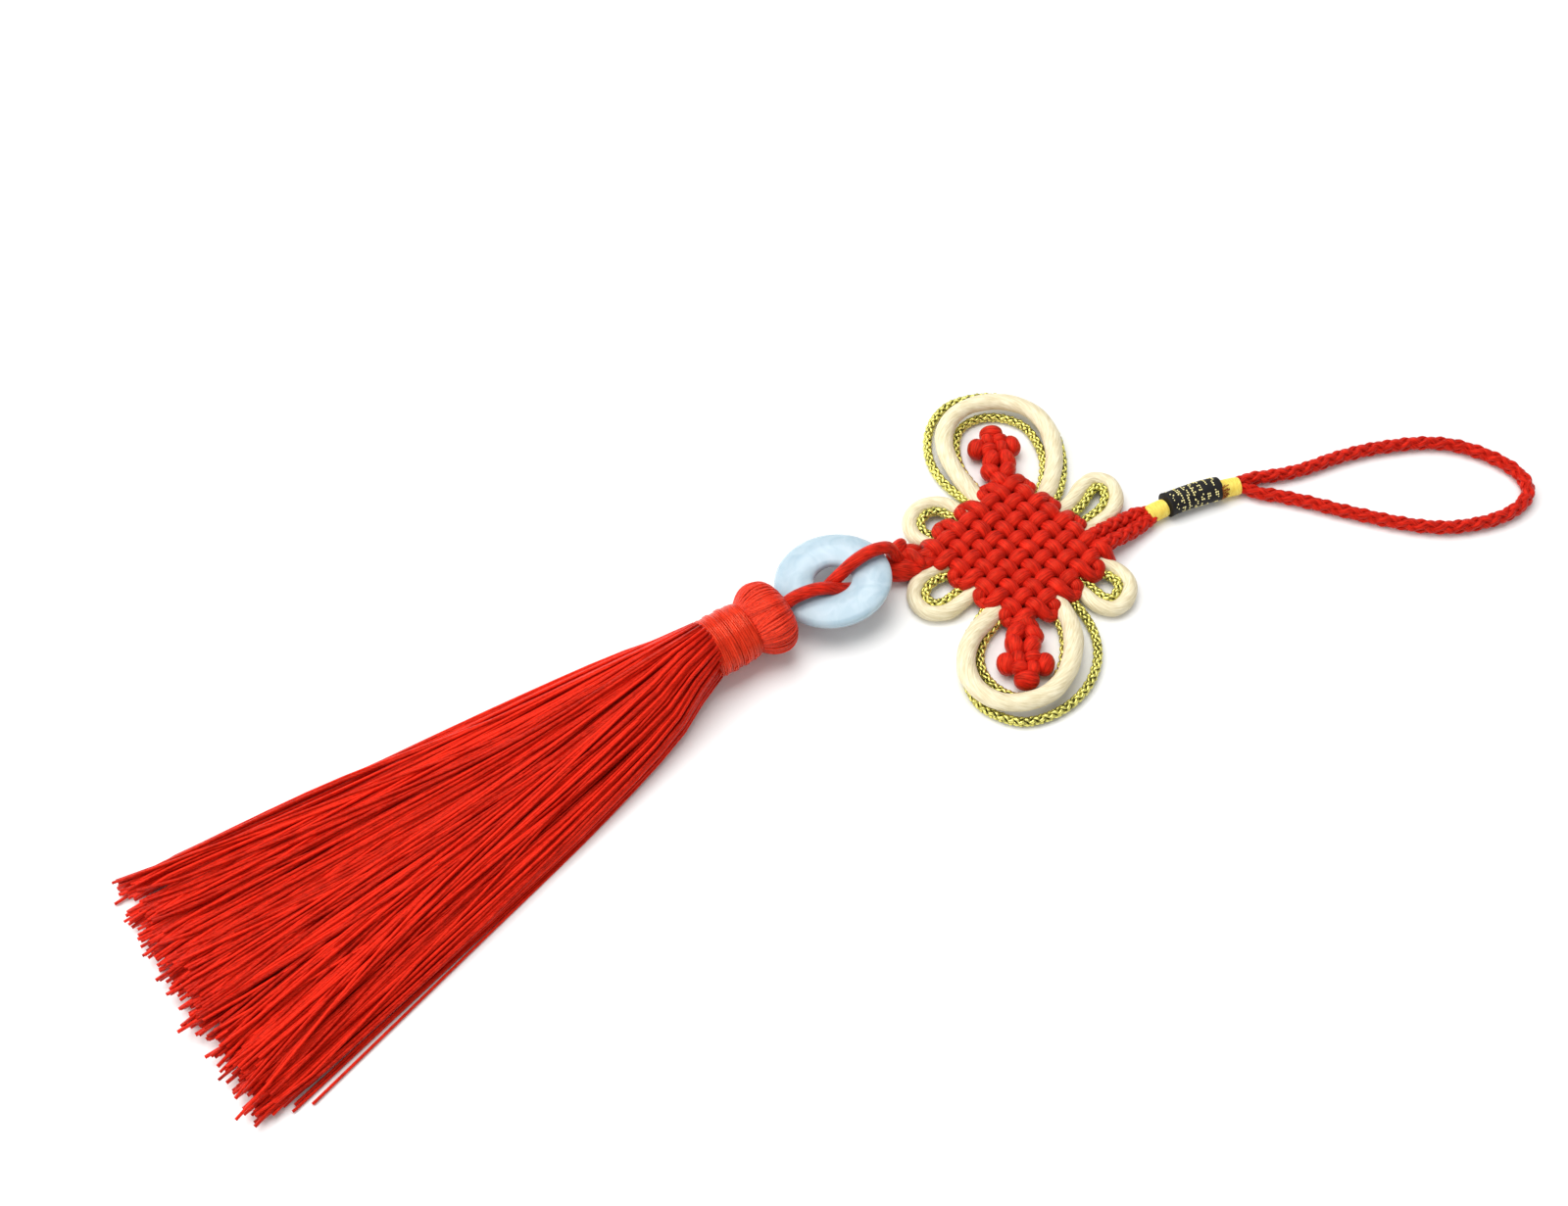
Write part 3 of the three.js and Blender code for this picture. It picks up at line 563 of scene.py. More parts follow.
def run_end(y, direction, turn_to, reach):
    """The points past the last crossing: a half turn towards the next run, or a plain dive."""
    if turn_to is None:
        return [(direction * (EDGE + 0.3), y, LEVEL["middle"]),
                (direction * (EDGE + 1.3), y, LEVEL["under"])]
    heights = [LEVEL["middle"] + TURN_START] + 3 * [LEVEL["turn"]]
    return [(direction * (EDGE + out * reach), y + aside * turn_to * PITCH, z)
            for (out, aside), z in zip(TURN_SHAPE, heights)]


def weave_run(row, family):
    """One run of cord across the knot, in the knot's own square axes."""
    y = (row - (ROWS - 1) / 2) * PITCH
    turn_to, reach = 1 if row % 2 == 0 else -1, TURN_REACH[0]
    if family == 1:
        turn_to, reach = -turn_to, TURN_REACH[1]
        if row in CORNER_ROWS:
            turn_to = None
    points = list(reversed(run_end(y, -1, turn_to, reach)))
    for cell in range(ROWS):
        x = (cell - (ROWS - 1) / 2) * PITCH
        over = (cell + row) % 2 == 0
        sway = weave_rng.uniform(-WOBBLE, WOBBLE)
        lift = weave_rng.uniform(-WOBBLE, WOBBLE) * LIFT
        half, height, sag = CREST if over else DIP
        points += [(x - half * PITCH, y + sway, LEVEL[height] + sag + lift),
                   (x, y + sway, LEVEL[height] + lift),
                   (x + half * PITCH, y + sway, LEVEL[height] + sag + lift)]
    points += run_end(y, 1, turn_to, reach)
    line = route(points, RUN_STEP)
    crest = np.clip((line[:, 2] - LEVEL["middle"]) / (LEVEL["over"] - LEVEL["middle"]), 0, 1)
    wide = RUN_WIDE["dive"] + (RUN_WIDE["over"] - RUN_WIDE["dive"]) * np.sqrt(crest)
    if family == 1:
        line = np.column_stack([-line[:, 1], line[:, 0], line[:, 2]])
    line = line @ np.array([*axes(45), UP])
    # The tint is lowered in the dips: painted shade.
    tint = weave_rng.uniform(*RUN_TINT) * (DIP_PAINTED_SHADE + (1 - DIP_PAINTED_SHADE) * crest)
    return strand(line, wide, RUN_DEEP, tint=tint)


runs = [weave_run(row, family) for family in (0, 1) for row in range(ROWS)]
dress(tubes("woven_knot", runs, sides=16), RED_SATIN, "red_cord", "knot_body")

# %% [markdown]
# ## Side knots
# In each side loop sits a small flower knot: two strands leave the weave, cross in a two by two
# centre and turn back in three round lobes. At this size each lobe reads as one plump lump of cord
# with its fibres running round the bend, so each is a lump of its own. A row gives its place, its
# length, width and height, and its bearing in degrees.

# %% Side knots
SIDE_KNOT = [
    (-1.7, -0.9, 3.6, 4.4, 3.9, 4.4, 20),
    (1.8, -0.6, 3.5, 4.6, 3.8, 4.4, 100),
    (-1.5, 2.1, 3.5, 4.2, 3.6, 4.2, 95),
    (1.7, 2.0, 3.6, 4.4, 3.7, 4.2, 10),
    (-4.6, 0.4, 2.8, 5.8, 4.9, 5.2, 80),
    (4.6, 0.4, 2.8, 5.8, 4.9, 5.2, 100),
    (0.1, 4.9, 2.8, 6.2, 5.0, 5.3, 5),
    (-1.7, -4.2, 3.3, 6.0, 4.6, 5.6, 68),
    (2.4, -4.6, 3.2, 6.6, 4.6, 5.6, 102),
    (-2.4, -8.0, 2.9, 5.8, 4.7, 5.4, 132),
    (1.7, -8.3, 3.1, 6.2, 4.6, 5.6, 58),
    (-0.6, -11.2, 3.1, 5.8, 4.4, 5.4, 128),
]
LUMP_TINT = (0.35, 0.75)


def side_knot(name, node, x, y, turn, seed):
    """A flower knot with its middle at x, y, turned so that its stem points at the weave."""
    rng = random.Random(seed)
    parts = []
    for across, up, z, *size, bearing in SIDE_KNOT:
        middle = np.array([x, y, z]) + across * axes(turn)[0] + up * axes(turn)[1]
        parts.append(lump(*middle, *size, bearing + turn, rng.uniform(*LUMP_TINT)))
    dress(tubes(name, parts, sides=14), RED_SATIN, "red_cord", node)


side_knot("flower_knot_near", "side_knot_near", -0.6, -33.4, turn=180, seed=5)
side_knot("flower_knot_far", "side_knot_far", -3.6, 33.4, turn=7, seed=6)

# %% [markdown]
# ## Button knot
# At the corner towards the ring the two cords are drawn into a tight button: a fat lower roll, an
# upper one that folds over it slantwise, and the pair of strands that come out of the weave.

# %% Button knot
BUTTON_KNOT = [
    (-29.0, -5.9, 2.9, 10.8, 6.0, 5.8, 10),
    (-29.2, -2.0, 3.3, 9.0, 4.6, 5.4, -30),
    (-27.6, -0.2, 2.8, 7.4, 3.8, 4.8, 8),
    (-26.2, -3.4, 4.6, 7.4, 3.6, 3.8, -46),
    (-22.6, -1.2, 3.0, 7.6, 3.7, 4.4, 24),
    (-22.8, -4.2, 2.8, 7.0, 3.6, 4.2, 34),
    (-30.6, -1.4, 4.9, 7.6, 4.0, 5.0, 58),
]
button_rng = random.Random(8)
button_parts = [lump(*row, button_rng.uniform(0.4, 0.7)) for row in BUTTON_KNOT]
dress(tubes("button_knot_cords", button_parts, sides=16), RED_SATIN, "red_cord", "button_knot")

# %% [markdown]
# ## Ears and side loops
# Beige satin cord and gold braid run through the knot together and stand out of its edges: four
# short ears, and two long loops in which the beige cord rides on two gold ones. Their routes
# follow the solids', and only the outer braid of the far loop spreads a little further out. The
# satin cord is soft, so it lies a little wider than tall.

# %% Ears
LOOP_BEIGE = {"wide": 4.7, "deep": 3.7}
EAR_BEIGE = {"wide": 3.9, "deep": 3.7}
GOLD_WIDE = 2.5
GOLD_LAY = 9.6
CORD_STEP = 0.5
GOLD_STEP = 0.32
LONG_SLACK, SHORT_SLACK = (0.03, 3.1), (0.02, 1.3)   # share of the width, and its length in mm
EARS = {
    "far_right": [(11.4, 12.6), (15.7, 17.3), (18.3, 21.4), (21.6, 24.0), (25.4, 22.8), (26.8, 18.4),
                  (25.4, 13.6), (21.8, 9.8), (16.6, 6.0)],
    "near_right": [(17.0, -2.8), (21.7, -3.6), (25.4, -6.0), (27.2, -9.6), (25.8, -14.4),
                   (22.4, -17.0), (18.6, -15.8), (15.4, -12.4), (11.6, -9.0)],
    "near_left": [(-17.2, -3.6), (-21.8, -5.6), (-25.4, -9.2), (-26.4, -14.0), (-23.4, -18.0),
                  (-18.8, -18.0), (-14.8, -15.0), (-10.6, -11.0)],
    "far_left": [(-9.6, 9.4), (-14.0, 13.6), (-18.8, 16.0), (-23.8, 14.6), (-26.6, 10.2),
                 (-25.6, 5.4), (-20.0, 1.4)],
}
EAR_INSIDE = 2.9
LOW_BEIGE, LOW_GOLD, EAR_GOLD, RIDING = 1.95, 1.3, 2.3, 4.3
TIED_IN = 1.9


def raised(points, height):
    """A flat route at its height, its ends sinking to the height where it is tied in."""
    last = len(points) - 1
    climb = height - TIED_IN
    heights = {0: TIED_IN, 1: TIED_IN + 0.3 * climb, 2: TIED_IN + 0.75 * climb}
    return [(x, y, heights.get(min(k, last - k), height)) for k, (x, y) in enumerate(points)]


def inside_of(points, offset):
    """The route that runs so far inside another one."""
    flat = np.array([(x, y) for x, y in points], float)
    run = unit(np.gradient(flat, axis=0))
    side = np.column_stack([-run[:, 1], run[:, 0]])
    inward = np.sign(((flat.mean(axis=0) - flat) * side).sum(axis=1))
    return [tuple(p) for p in flat + offset * inward[:, None] * side]


def beige_cord(name, node, points, height, size, seed):
    """A beige satin cord along a flat route."""
    line = route(raised(points, height), CORD_STEP)
    rng = random.Random(seed)
    along = distances(line)
    slack = 1 + LONG_SLACK[0] * np.sin(along / LONG_SLACK[1] + rng.uniform(0, 6))
    slack += SHORT_SLACK[0] * np.sin(along / SHORT_SLACK[1])
    part = strand(line, size["wide"] * slack, size["deep"], tint=rng.uniform(0.4, 0.6))
    dress(tubes(name, [part], sides=18), BEIGE_SATIN, "beige_cord", node)


def gold_cord(name, node, points, height, seed):
    """A gold braid along a flat route."""
    line = route(raised(points, height), GOLD_STEP)
    dress(tubes(name, braid(line, GOLD_WIDE, GOLD_LAY, seed), sides=6), GOLD_FILM, "gold_braid", node)


for seed, (place, points) in enumerate(EARS.items()):
    beige_cord(f"ear_{place}_satin", f"ear_{place}_beige", points, LOW_BEIGE, EAR_BEIGE, seed)
    gold_cord(f"ear_{place}_braid", f"ear_{place}_gold", inside_of(points, EAR_INSIDE), EAR_GOLD, seed)

# %% Side loops
SIDE_LOOPS = {
    "near_beige": [(-4.6, -14.6), (-8.6, -20.3), (-12.3, -25.4), (-14.8, -31.8), (-14.7, -37.9),
                   (-12.2, -42.3), (-7.8, -45.1), (-2.0, -45.3), (4.0, -42.9), (8.4, -37.9),
                   (10.9, -30.9), (11.3, -23.8), (9.6, -17.0), (7.0, -12.0)],
    "near_gold_inner": [(-3.4, -16.0), (-6.4, -21.0), (-9.9, -26.0), (-11.2, -31.0), (-10.4, -36.0),
                        (-7.4, -40.0), (-2.8, -42.2), (2.6, -41.0), (6.6, -37.0), (9.0, -31.0),
                        (9.4, -24.0), (7.6, -17.4), (5.6, -13.0)],
    "near_gold_outer": [(-6.8, -13.6), (-10.6, -19.6), (-13.8, -25.0), (-15.4, -31.6),
                        (-14.8, -38.4), (-12.0, -44.4), (-6.8, -47.9), (-2.0, -49.0), (3.9, -47.5),
                        (10.1, -43.5), (14.6, -38.0), (17.2, -31.0), (17.2, -24.4), (14.8, -17.8),
                        (11.0, -12.4), (8.4, -9.4)],
    "far_beige": [(-5.6, 13.8), (-10.1, 18.8), (-14.2, 25.2), (-16.4, 31.0), (-16.6, 37.0),
                  (-14.6, 42.3), (-10.5, 46.3), (-5.1, 48.3), (1.4, 48.1), (7.2, 45.0), (10.8, 38.8),
                  (11.8, 31.0), (10.3, 22.5), (6.4, 14.0)],
    "far_gold_inner": [(-4.4, 15.0), (-9.0, 21.0), (-12.0, 26.6), (-13.2, 31.6), (-13.2, 37.4),
                       (-11.2, 42.2), (-6.4, 45.2), (-1.0, 45.4), (4.8, 42.6), (8.0, 37.0),
                       (9.2, 30.2), (8.0, 22.5), (4.8, 15.4)],
    "far_gold_outer": [(-7.8, 12.8), (-13.0, 18.0), (-18.0, 24.3), (-20.5, 31.0), (-20.7, 37.8),
                       (-18.8, 44.4), (-14.6, 49.6), (-8.9, 52.1), (-3.3, 52.8), (3.4, 51.4),
                       (9.0, 47.5), (12.8, 41.0), (14.2, 34.0), (14.0, 27.0), (12.2, 19.6),
                       (8.4, 12.4)],
}
for seed, (place, points) in enumerate(SIDE_LOOPS.items()):
    if place.endswith("beige"):
        beige_cord(f"loop_{place}_satin", f"side_loop_{place}", points, RIDING, LOOP_BEIGE, seed + 20)
    else:
        gold_cord(f"loop_{place}_braid", f"side_loop_{place}", points, LOW_GOLD, seed + 20)

# %% [markdown]
# ## Neck
# Two braided cords come out of the weave's corner side by side and go up into the binding. They
# are the same make as the hanging loop, pulled tight, so their plait stands out more coarsely.

# %% Neck
NECK = [(17.8, 0.6, 3.6, 1.9), (20.6, 2.6, 4.2, 1.95), (24.4, 5.2, 3.6, 2.0), (28.6, 8.3, 2.5, 1.95),
        (32.4, 10.9, 2.3, 1.55), (35.4, 12.3, 2.3, TIED_OFFSET)]
NECK_WIDE = 4.3
NECK_LAY = 15.0
NECK_ACROSS = (-0.56, 0.83)
for name, sideways, seed in (("far", 1, 31), ("near", -1, 32)):
    points = [(x + sideways * apart * NECK_ACROSS[0], y + sideways * apart * NECK_ACROSS[1], z)
              for x, y, z, apart in NECK]
    line = route(points, LOOP_STEP)
    wide = squeezed(line, NECK_WIDE, TIED_WIDE, TIED_ROOM / 2, at_start=False)
    plait = tubes(f"neck_{name}_braid", braid(line, wide, NECK_LAY, seed), sides=8)
    dress(plait, RED_BRAID, "red_braid", f"neck_cord_{name}")

# %% [markdown]
# ## Binding
# The two cords are bound with yellow thread, then a black brocade ribbon, then yellow thread
# again. A winding is a helix on the oval of the bundle. The turns lie close together over a core,
# and each one wanders a little, as a hand-wound thread does.

# %% Windings
TURN_POINTS = 40
TURN_FILL = 0.94                        # how close the turns lie, in threads
TURN_WANDER, TURN_SWELL = 0.22, 0.06    # how far a turn strays along and out, in threads
CORE_SLIM = 1.3                         # how much slimmer the core is than the winding, in threads
PRESSED = (1.02, 0.9)                   # a wound thread's width and depth, in threads


def winding(place, start, end, wide, tall, thread, seed, ends_in=0.0, core=True):
    """Thread wound round an oval: place gives the axis point, its heading and its up vector."""
    rng = random.Random(seed)
    turns = max(2, int(round((end - start) / (thread * TURN_FILL))))
    strays = [rng.uniform(-TURN_WANDER, TURN_WANDER) for _ in range(turns + 2)]
    swells = [rng.uniform(-TURN_SWELL, TURN_SWELL) for _ in range(turns + 2)]
    points, outward = [], []
    for turn in np.arange(turns * TURN_POINTS + 1) / TURN_POINTS:
        off, puff = (np.interp(turn, range(turns + 2), each) for each in (strays, swells))
        share = turn / turns
        edge = ends_in * (2 * abs(share - 0.5)) ** 6
        angle = 2 * math.pi * turn
        axis, across, above = place(start + (end - start) * share + off * thread)
        out = math.cos(angle) * across * (wide / 2) + math.sin(angle) * above * (tall / 2)
        scale = 1 - (thread / 2 + edge) / np.linalg.norm(out) + puff * thread / np.linalg.norm(out)
        points.append(axis + out * scale)
        outward.append(out)
    parts = [strand(np.array(points), thread * PRESSED[0], thread * PRESSED[1],
                    normals=unit(np.array(outward)), tint=rng.uniform(0.4, 0.6))]
    if core:
        inner = np.array([place(d)[0] for d in np.linspace(start + 0.1, end - 0.1, 12)])
        slim = CORE_SLIM * thread
        # The core takes a low tint: painted shade where it shows between the turns.
        parts.append(strand(inner, wide - slim, tall - slim, tint=0.1))
    return parts


def sleeve_place(z):
    """Places on the sleeve's axis at a height, for a winding."""
    def place(distance):
        axis = along_sleeve(distance, 0.0, z)
        ahead = along_sleeve(distance + 0.1, 0.0, z) - axis
        return axis, unit(np.cross(UP, ahead)), UP
    return place


YELLOW = 0.36
WRAP_WIDE = 5.0
upper_start = WRAP_LENGTH + 2 * GAP + RIBBON_LENGTH
for name, start, seed in (("lower", -0.1, 41), ("upper", upper_start - 0.2, 42)):
    parts = winding(sleeve_place(WRAP_TALL / 2), start, start + WRAP_LENGTH + 0.3, WRAP_WIDE,
                    WRAP_TALL, YELLOW, seed, ends_in=0.25)
    dress(tubes(f"wrap_{name}_thread", parts, sides=8), YELLOW_THREAD, "yellow_thread", f"wrap_{name}")

# %% [markdown]
# The ribbon is a narrow black brocade, rolled once round the cords, with short cream threads that
# float on its face in broken rows. They are left as a generic pattern of dashes. The base
# cloth is modelled from a cylinder: rows of edges are cut in, the ends are bevelled, and each
# ring is then slid to the sleeve's bowed line.

# %% Ribbon cloth
RIB = 0.3   # millimetres from one rib to the next


def ribbon_cloth(name):
    """Black satin-backed ribbon: fine ribs across it, dull as unlit thread is."""
    material = new_material(name, Roughness=0.6, Specular_IOR_Level=0.25)
    place = add_node(material, "ShaderNodeTexCoord").outputs["Object"]
    ribs = add_node(material, "ShaderNodeTexWave", {"Scale": 1 / (RIB * MM * 20), "Distortion": 0.6},
                    {"Vector": place}, wave_type="BANDS", bands_direction="DIAGONAL")
    worn = noise(material, place, "3D", Scale=400.0, Detail=3.0)
    two_tone(material, "0B0A0B", "1E1C1B", worn)
    relief(material, ribs.outputs["Fac"], 0.6, 0.08)
    return material


RIBBON_CLOTH = ribbon_cloth("black brocade ribbon")
RIBBON_WIDE, RIBBON_TALL = 6.5, 5.7
RIBBON_HEIGHT = RIBBON_TALL / 2 + 0.2
RIBBON_CUTS = (-0.46, -0.4, -0.3, -0.2, -0.1, 0, 0.1, 0.2, 0.3, 0.4, 0.46)
FLARE, TAPER, CREASE = 0.07, 0.04, 0.012   # shares of the ribbon's width
ROLLED_EDGE = 0.25
RIBBON_SIDES = 40
SMOOTH_BELOW = 50
ribbon_start = WRAP_LENGTH + GAP
ribbon_middle = ribbon_start + RIBBON_LENGTH / 2

bpy.ops.object.select_all(action="DESELECT")
bpy.ops.mesh.primitive_cylinder_add(vertices=RIBBON_SIDES, radius=0.5, depth=1.0, end_fill_type="NGON")
ribbon = bpy.context.object
ribbon.name = "brocade_ribbon"
bpy.ops.object.mode_set(mode="EDIT")
for cut in RIBBON_CUTS:
    bpy.ops.mesh.select_all(action="SELECT")
    bpy.ops.mesh.bisect(plane_co=(0, 0, cut), plane_no=(0, 0, 1))
bpy.ops.object.mode_set(mode="OBJECT")
for vertex in ribbon.data.vertices:
    x, y, z = vertex.co
    flare = FLARE * max(0.0, -2 * z) ** 6 - TAPER * max(0.0, 2 * z) ** 8
    pinch = 1 + flare + CREASE * math.sin(9 * z) * math.cos(3 * math.atan2(y, x))
    centre, across, above = sleeve_place(RIBBON_HEIGHT)(ribbon_middle + z * RIBBON_LENGTH)
    point = centre + across * x * RIBBON_WIDE * pinch + above * y * RIBBON_TALL * pinch
    vertex.co = to_frame(point)
ribbon_bevel = ribbon.modifiers.new("rolled ends", "BEVEL")
ribbon_bevel.width = ROLLED_EDGE * MM
ribbon_bevel.segments = 3
bpy.ops.object.modifier_apply(modifier=ribbon_bevel.name)
bpy.ops.object.mode_set(mode="EDIT")
bpy.ops.mesh.select_all(action="SELECT")
bpy.ops.mesh.normals_make_consistent(inside=False)
bpy.ops.object.mode_set(mode="OBJECT")
bpy.ops.object.shade_smooth_by_angle(angle=math.radians(SMOOTH_BELOW))
dress(ribbon, RIBBON_CLOTH, "black_ribbon", "ribbon_sleeve")

# %% Brocade dashes
DASH_ROWS = [1.5, 3.4, 5.4, 7.3, 9.2, 11.1, 13.4]
ROW_FILL = 0.46
DASH_PITCH = 12
DASH_WIDE, DASH_DEEP = 0.38, 0.2
DASH_HALF = (2.6, 4.6)
DASH_LEAN = (-0.5, 0.5)
DASH_APART = 0.28
DASH_ARC = [(-1, -0.1), (-0.6, 0.03), (0, 0.03), (0.6, 0.03), (1, -0.1)]   # its ends dip in
dash_rng = random.Random(51)


def on_ribbon(distance, degrees, lift):
    """A point on the ribbon's face, and the way out of it."""
    centre, across, above = sleeve_place(RIBBON_HEIGHT)(ribbon_start + distance)
    angle = math.radians(degrees)
    out = across * math.cos(angle) * RIBBON_WIDE / 2 + above * math.sin(angle) * RIBBON_TALL / 2
    return centre + out * (1 + lift / np.linalg.norm(out)), unit(out)


def on_face(places, wide, deep, tint):
    """A strand along places on the ribbon's face."""
    line, outward = (np.array(each) for each in zip(*places))
    return strand(line, wide, deep, outward, tint)


dashes = []
for row in DASH_ROWS:
    shift = dash_rng.uniform(0, DASH_PITCH)
    for pair in (-DASH_APART, DASH_APART):
        for around in np.arange(shift, 360, DASH_PITCH):
            if dash_rng.random() > ROW_FILL:
                continue
            half = dash_rng.uniform(*DASH_HALF)
            leaning = dash_rng.uniform(*DASH_LEAN)
            arc = [on_ribbon(row + pair + leaning * t * 0.5, around + half * t, lift)
                   for t, lift in DASH_ARC]
            dashes.append(on_face(arc, DASH_WIDE, DASH_DEEP, dash_rng.uniform(0.3, 1)))
dress(tubes("brocade_dashes", dashes, sides=8), CREAM_THREAD, "black_ribbon")

# %% [markdown]
# The ribbon's cut end has frayed a little: short brown threads stick out of it and lie on the
# yellow winding beside it. Each is a thin tube that leaves the edge, leans aside and ends free.

# %% Frayed threads
FRAYS = 24
FRAY_WIDE = 0.24
FRAY_SPAN = (126, 205)
FRAY_LENGTH = (0.9, 2.3)
FRAY_LEAN = 12
FRAY_START, FRAY_DROOP = RIBBON_LENGTH - 0.4, 0.5
fray_rng = random.Random(55)
BROWN_THREAD = filament("brown frayed thread", "B0642A", "4A2408", "E0A060", streak=0.2, run=0.8,
                        Roughness=0.5)


def fray():
    """One short thread that sticks out of the ribbon's upper end."""
    around = fray_rng.uniform(*FRAY_SPAN)
    length = fray_rng.uniform(*FRAY_LENGTH)
    aside = fray_rng.gauss(0, FRAY_LEAN)
    places = [on_ribbon(FRAY_START + length * t, around + aside * t, -0.1 - FRAY_DROOP * t)
              for t in (0, 0.5, 1)]
    return on_face(places, FRAY_WIDE, FRAY_WIDE, fray_rng.uniform(0, 1))


dress(tubes("frayed_threads", [fray() for _ in range(FRAYS)], sides=6), BROWN_THREAD, "black_ribbon")

# %% [markdown]
# ## Glass ring
# The ring is pressed opal glass, milky pale blue with faint white clouds that swirl round it, and
# polished so its rim carries one thin bright line. Its section is a lens, rounder than a washer.
# It is spun: the section's outline is a flattened circle, set off from the axis, and one spin of
# it closes the ring. The finished ring is then leant on the cords that it is threaded on. It is
# drawn a little slimmer than its solid, as the photograph has it.

# %% Opal glass
CLOUD_SPAN = (0.38, 0.66)
SWIRL = 0.012


def opal_glass(name):
    """Pressed opal glass: milky, faintly clouded, lit a little from inside, with a hard polish."""
    material = new_material(name, Roughness=0.2, IOR=1.45, Transmission_Weight=0.15,
                            Subsurface_Weight=0.3, Subsurface_Scale=0.004,
                            Subsurface_Radius=(0.8, 1.0, 1.2), Coat_Weight=0.1, Coat_Roughness=0.08)
    place = add_node(material, "ShaderNodeTexCoord").outputs["Object"]
    warp = add_node(material, "ShaderNodeTexNoise", {"Scale": 55.0, "Detail": 2.0}, {"Vector": place})
    swirl = add_node(material, "ShaderNodeMix", {0: SWIRL},
                     {MIX_A: place, MIX_B: warp.outputs["Color"]}, data_type="RGBA")
    clouds = noise(material, swirl.outputs[MIX_RESULT], "3D", Scale=210.0, Detail=5.0, Distortion=1.6)
    two_tone(material, "B0C7D3", "BED1DB", remap(material, clouds, *CLOUD_SPAN))
    return material


OPAL_GLASS = opal_glass("pressed opal glass")

# %% Ring
RING = {"x": -46, "y": -12.5, "z": 6.75, "radius": 14.6, "hole": 4.7, "thick": 3.7, "tilt": 8,
        "lean": 150.7, "slipped": (-0.6, 0.7, 0), "bulge": 0.75}
RING_SIDES, RING_STEPS = 28, 96
THREADING = 30
ring_middle = (RING["radius"] + RING["hole"]) / 2
ring_reach = (RING["radius"] - RING["hole"]) / 2

bpy.ops.object.select_all(action="DESELECT")
bpy.ops.mesh.primitive_circle_add(vertices=RING_SIDES, radius=1.0, location=(0, 0, 0))
ring = bpy.context.object
ring.name = "opal_ring"
for vertex in ring.data.vertices:
    across, above = vertex.co.x, vertex.co.y
    bulge = math.copysign(abs(above) ** RING["bulge"], above)
    vertex.co = ((ring_middle + ring_reach * across) * MM, 0, RING["thick"] / 2 * bulge * MM)
bpy.ops.object.mode_set(mode="EDIT")
bpy.ops.mesh.select_all(action="SELECT")
bpy.ops.mesh.spin(steps=RING_STEPS, angle=2 * math.pi, center=(0, 0, 0), axis=(0, 0, 1),
                  use_auto_merge=False)
bpy.ops.mesh.select_all(action="SELECT")
bpy.ops.mesh.remove_doubles(threshold=1e-6)
bpy.ops.mesh.normals_make_consistent(inside=False)
bpy.ops.object.mode_set(mode="OBJECT")
bpy.ops.object.shade_smooth()

tilt = math.radians(RING["tilt"])
ring_normal = math.sin(tilt) * axes(RING["lean"])[0] + math.cos(tilt) * UP
turn = Vector((0, 0, 1)).rotation_difference(Vector(ring_normal))
ring_place = np.array([RING["x"], RING["y"], RING["z"]], float)
centre = Vector(to_frame(ring_place + RING["slipped"]))
for vertex in ring.data.vertices:
    vertex.co = centre + turn @ vertex.co
dress(ring, OPAL_GLASS, "pale_glass", "glass_ring")

# %% [markdown]
# Two satin cords are threaded through the ring, one from the knot over its right rim and one from
# the tassel over its left rim, and both go down through the hole. Their routes are given in the
# ring's own axes: along the threading, sideways, and above the ring's middle plane. The soft cords
# are drawn a little closer to the glass than their solids are.

# %% Ring cords
RING_CORDS = {
    "ring_cord_knot": [(18.2, -0.2, -4.5), (17.0, 0, -0.8), (15.7, 0.2, 2.4), (12.8, 0.3, 4.1),
                       (9.5, 0.4, 4.5), (5.7, 0.3, 3.9), (2.6, 0.5, 2.0), (0, 0.7, 0.2),
                       (-2.4, 0.8, -1.7), (-4.6, 0.9, -3.4), (-7.4, 0.9, -4.4), (-10.4, 0.8, -4.45),
                       (-13.4, 0.5, -4.2), (-16.8, 0, -3.0)],
    "ring_cord_tassel": [(-17.4, -0.9, 2.6), (-16.8, -0.9, 3.0), (-14.6, -1.0, 3.6),
                         (-12.0, -1.1, 4.3), (-9.2, -1.4, 4.5), (-6.2, -1.9, 4.2), (-3.4, -2.4, 3.0),
                         (-1.0, -2.6, 1.0), (1.5, -2.5, -1.1), (4.0, -2.0, -3.2), (7.4, -1.5, -4.4),
                         (10.6, -1.4, -4.7), (13.8, -1.4, -4.9), (16.4, -1.7, -5.0)],
}
RING_CORD_WIDE, RING_CORD_DEEP = 3.4, 3.0
RING_CORD_STEP = 0.4
DRAWN_CLOSE = 0.9
across_ring = unit(np.cross(ring_normal, axes(THREADING)[0]))
along_ring = np.cross(across_ring, ring_normal)
for name, points in RING_CORDS.items():
    placed = [ring_place + a * along_ring + s * across_ring + h * DRAWN_CLOSE * ring_normal
              for a, s, h in points]
    line = route(placed, RING_CORD_STEP)
    piece = tubes(f"{name}_satin", [strand(line, RING_CORD_WIDE, RING_CORD_DEEP, tint=0.6)], sides=16)
    dress(piece, RED_SATIN, "red_cord", name)

# %% [markdown]
# ## Tassel head
# The head is a hank of thread folded in half over its cord and tied below the fold. The threads
# come up out of the dimple at the top, bend over the dome and are drawn in under the band. So the
# head is drawn as threads on a dome: each follows the dome's outline at its own angle.

# %% Places on the tassel
TASSEL = {"x": -58.6, "y": -20.9, "z": 7.9, "bearing": 214}
HEAD = {"length": 10.6, "wide": 20.4, "thick": 16.6, "core": 12.4}
BAND = {"length": 12, "wide": 15.6}
FLATNESS = HEAD["thick"] / HEAD["wide"]   # how tall it lies for its width
tassel_ahead, tassel_across = axes(TASSEL["bearing"])
tassel_start = np.array([TASSEL["x"], TASSEL["y"], TASSEL["z"]])


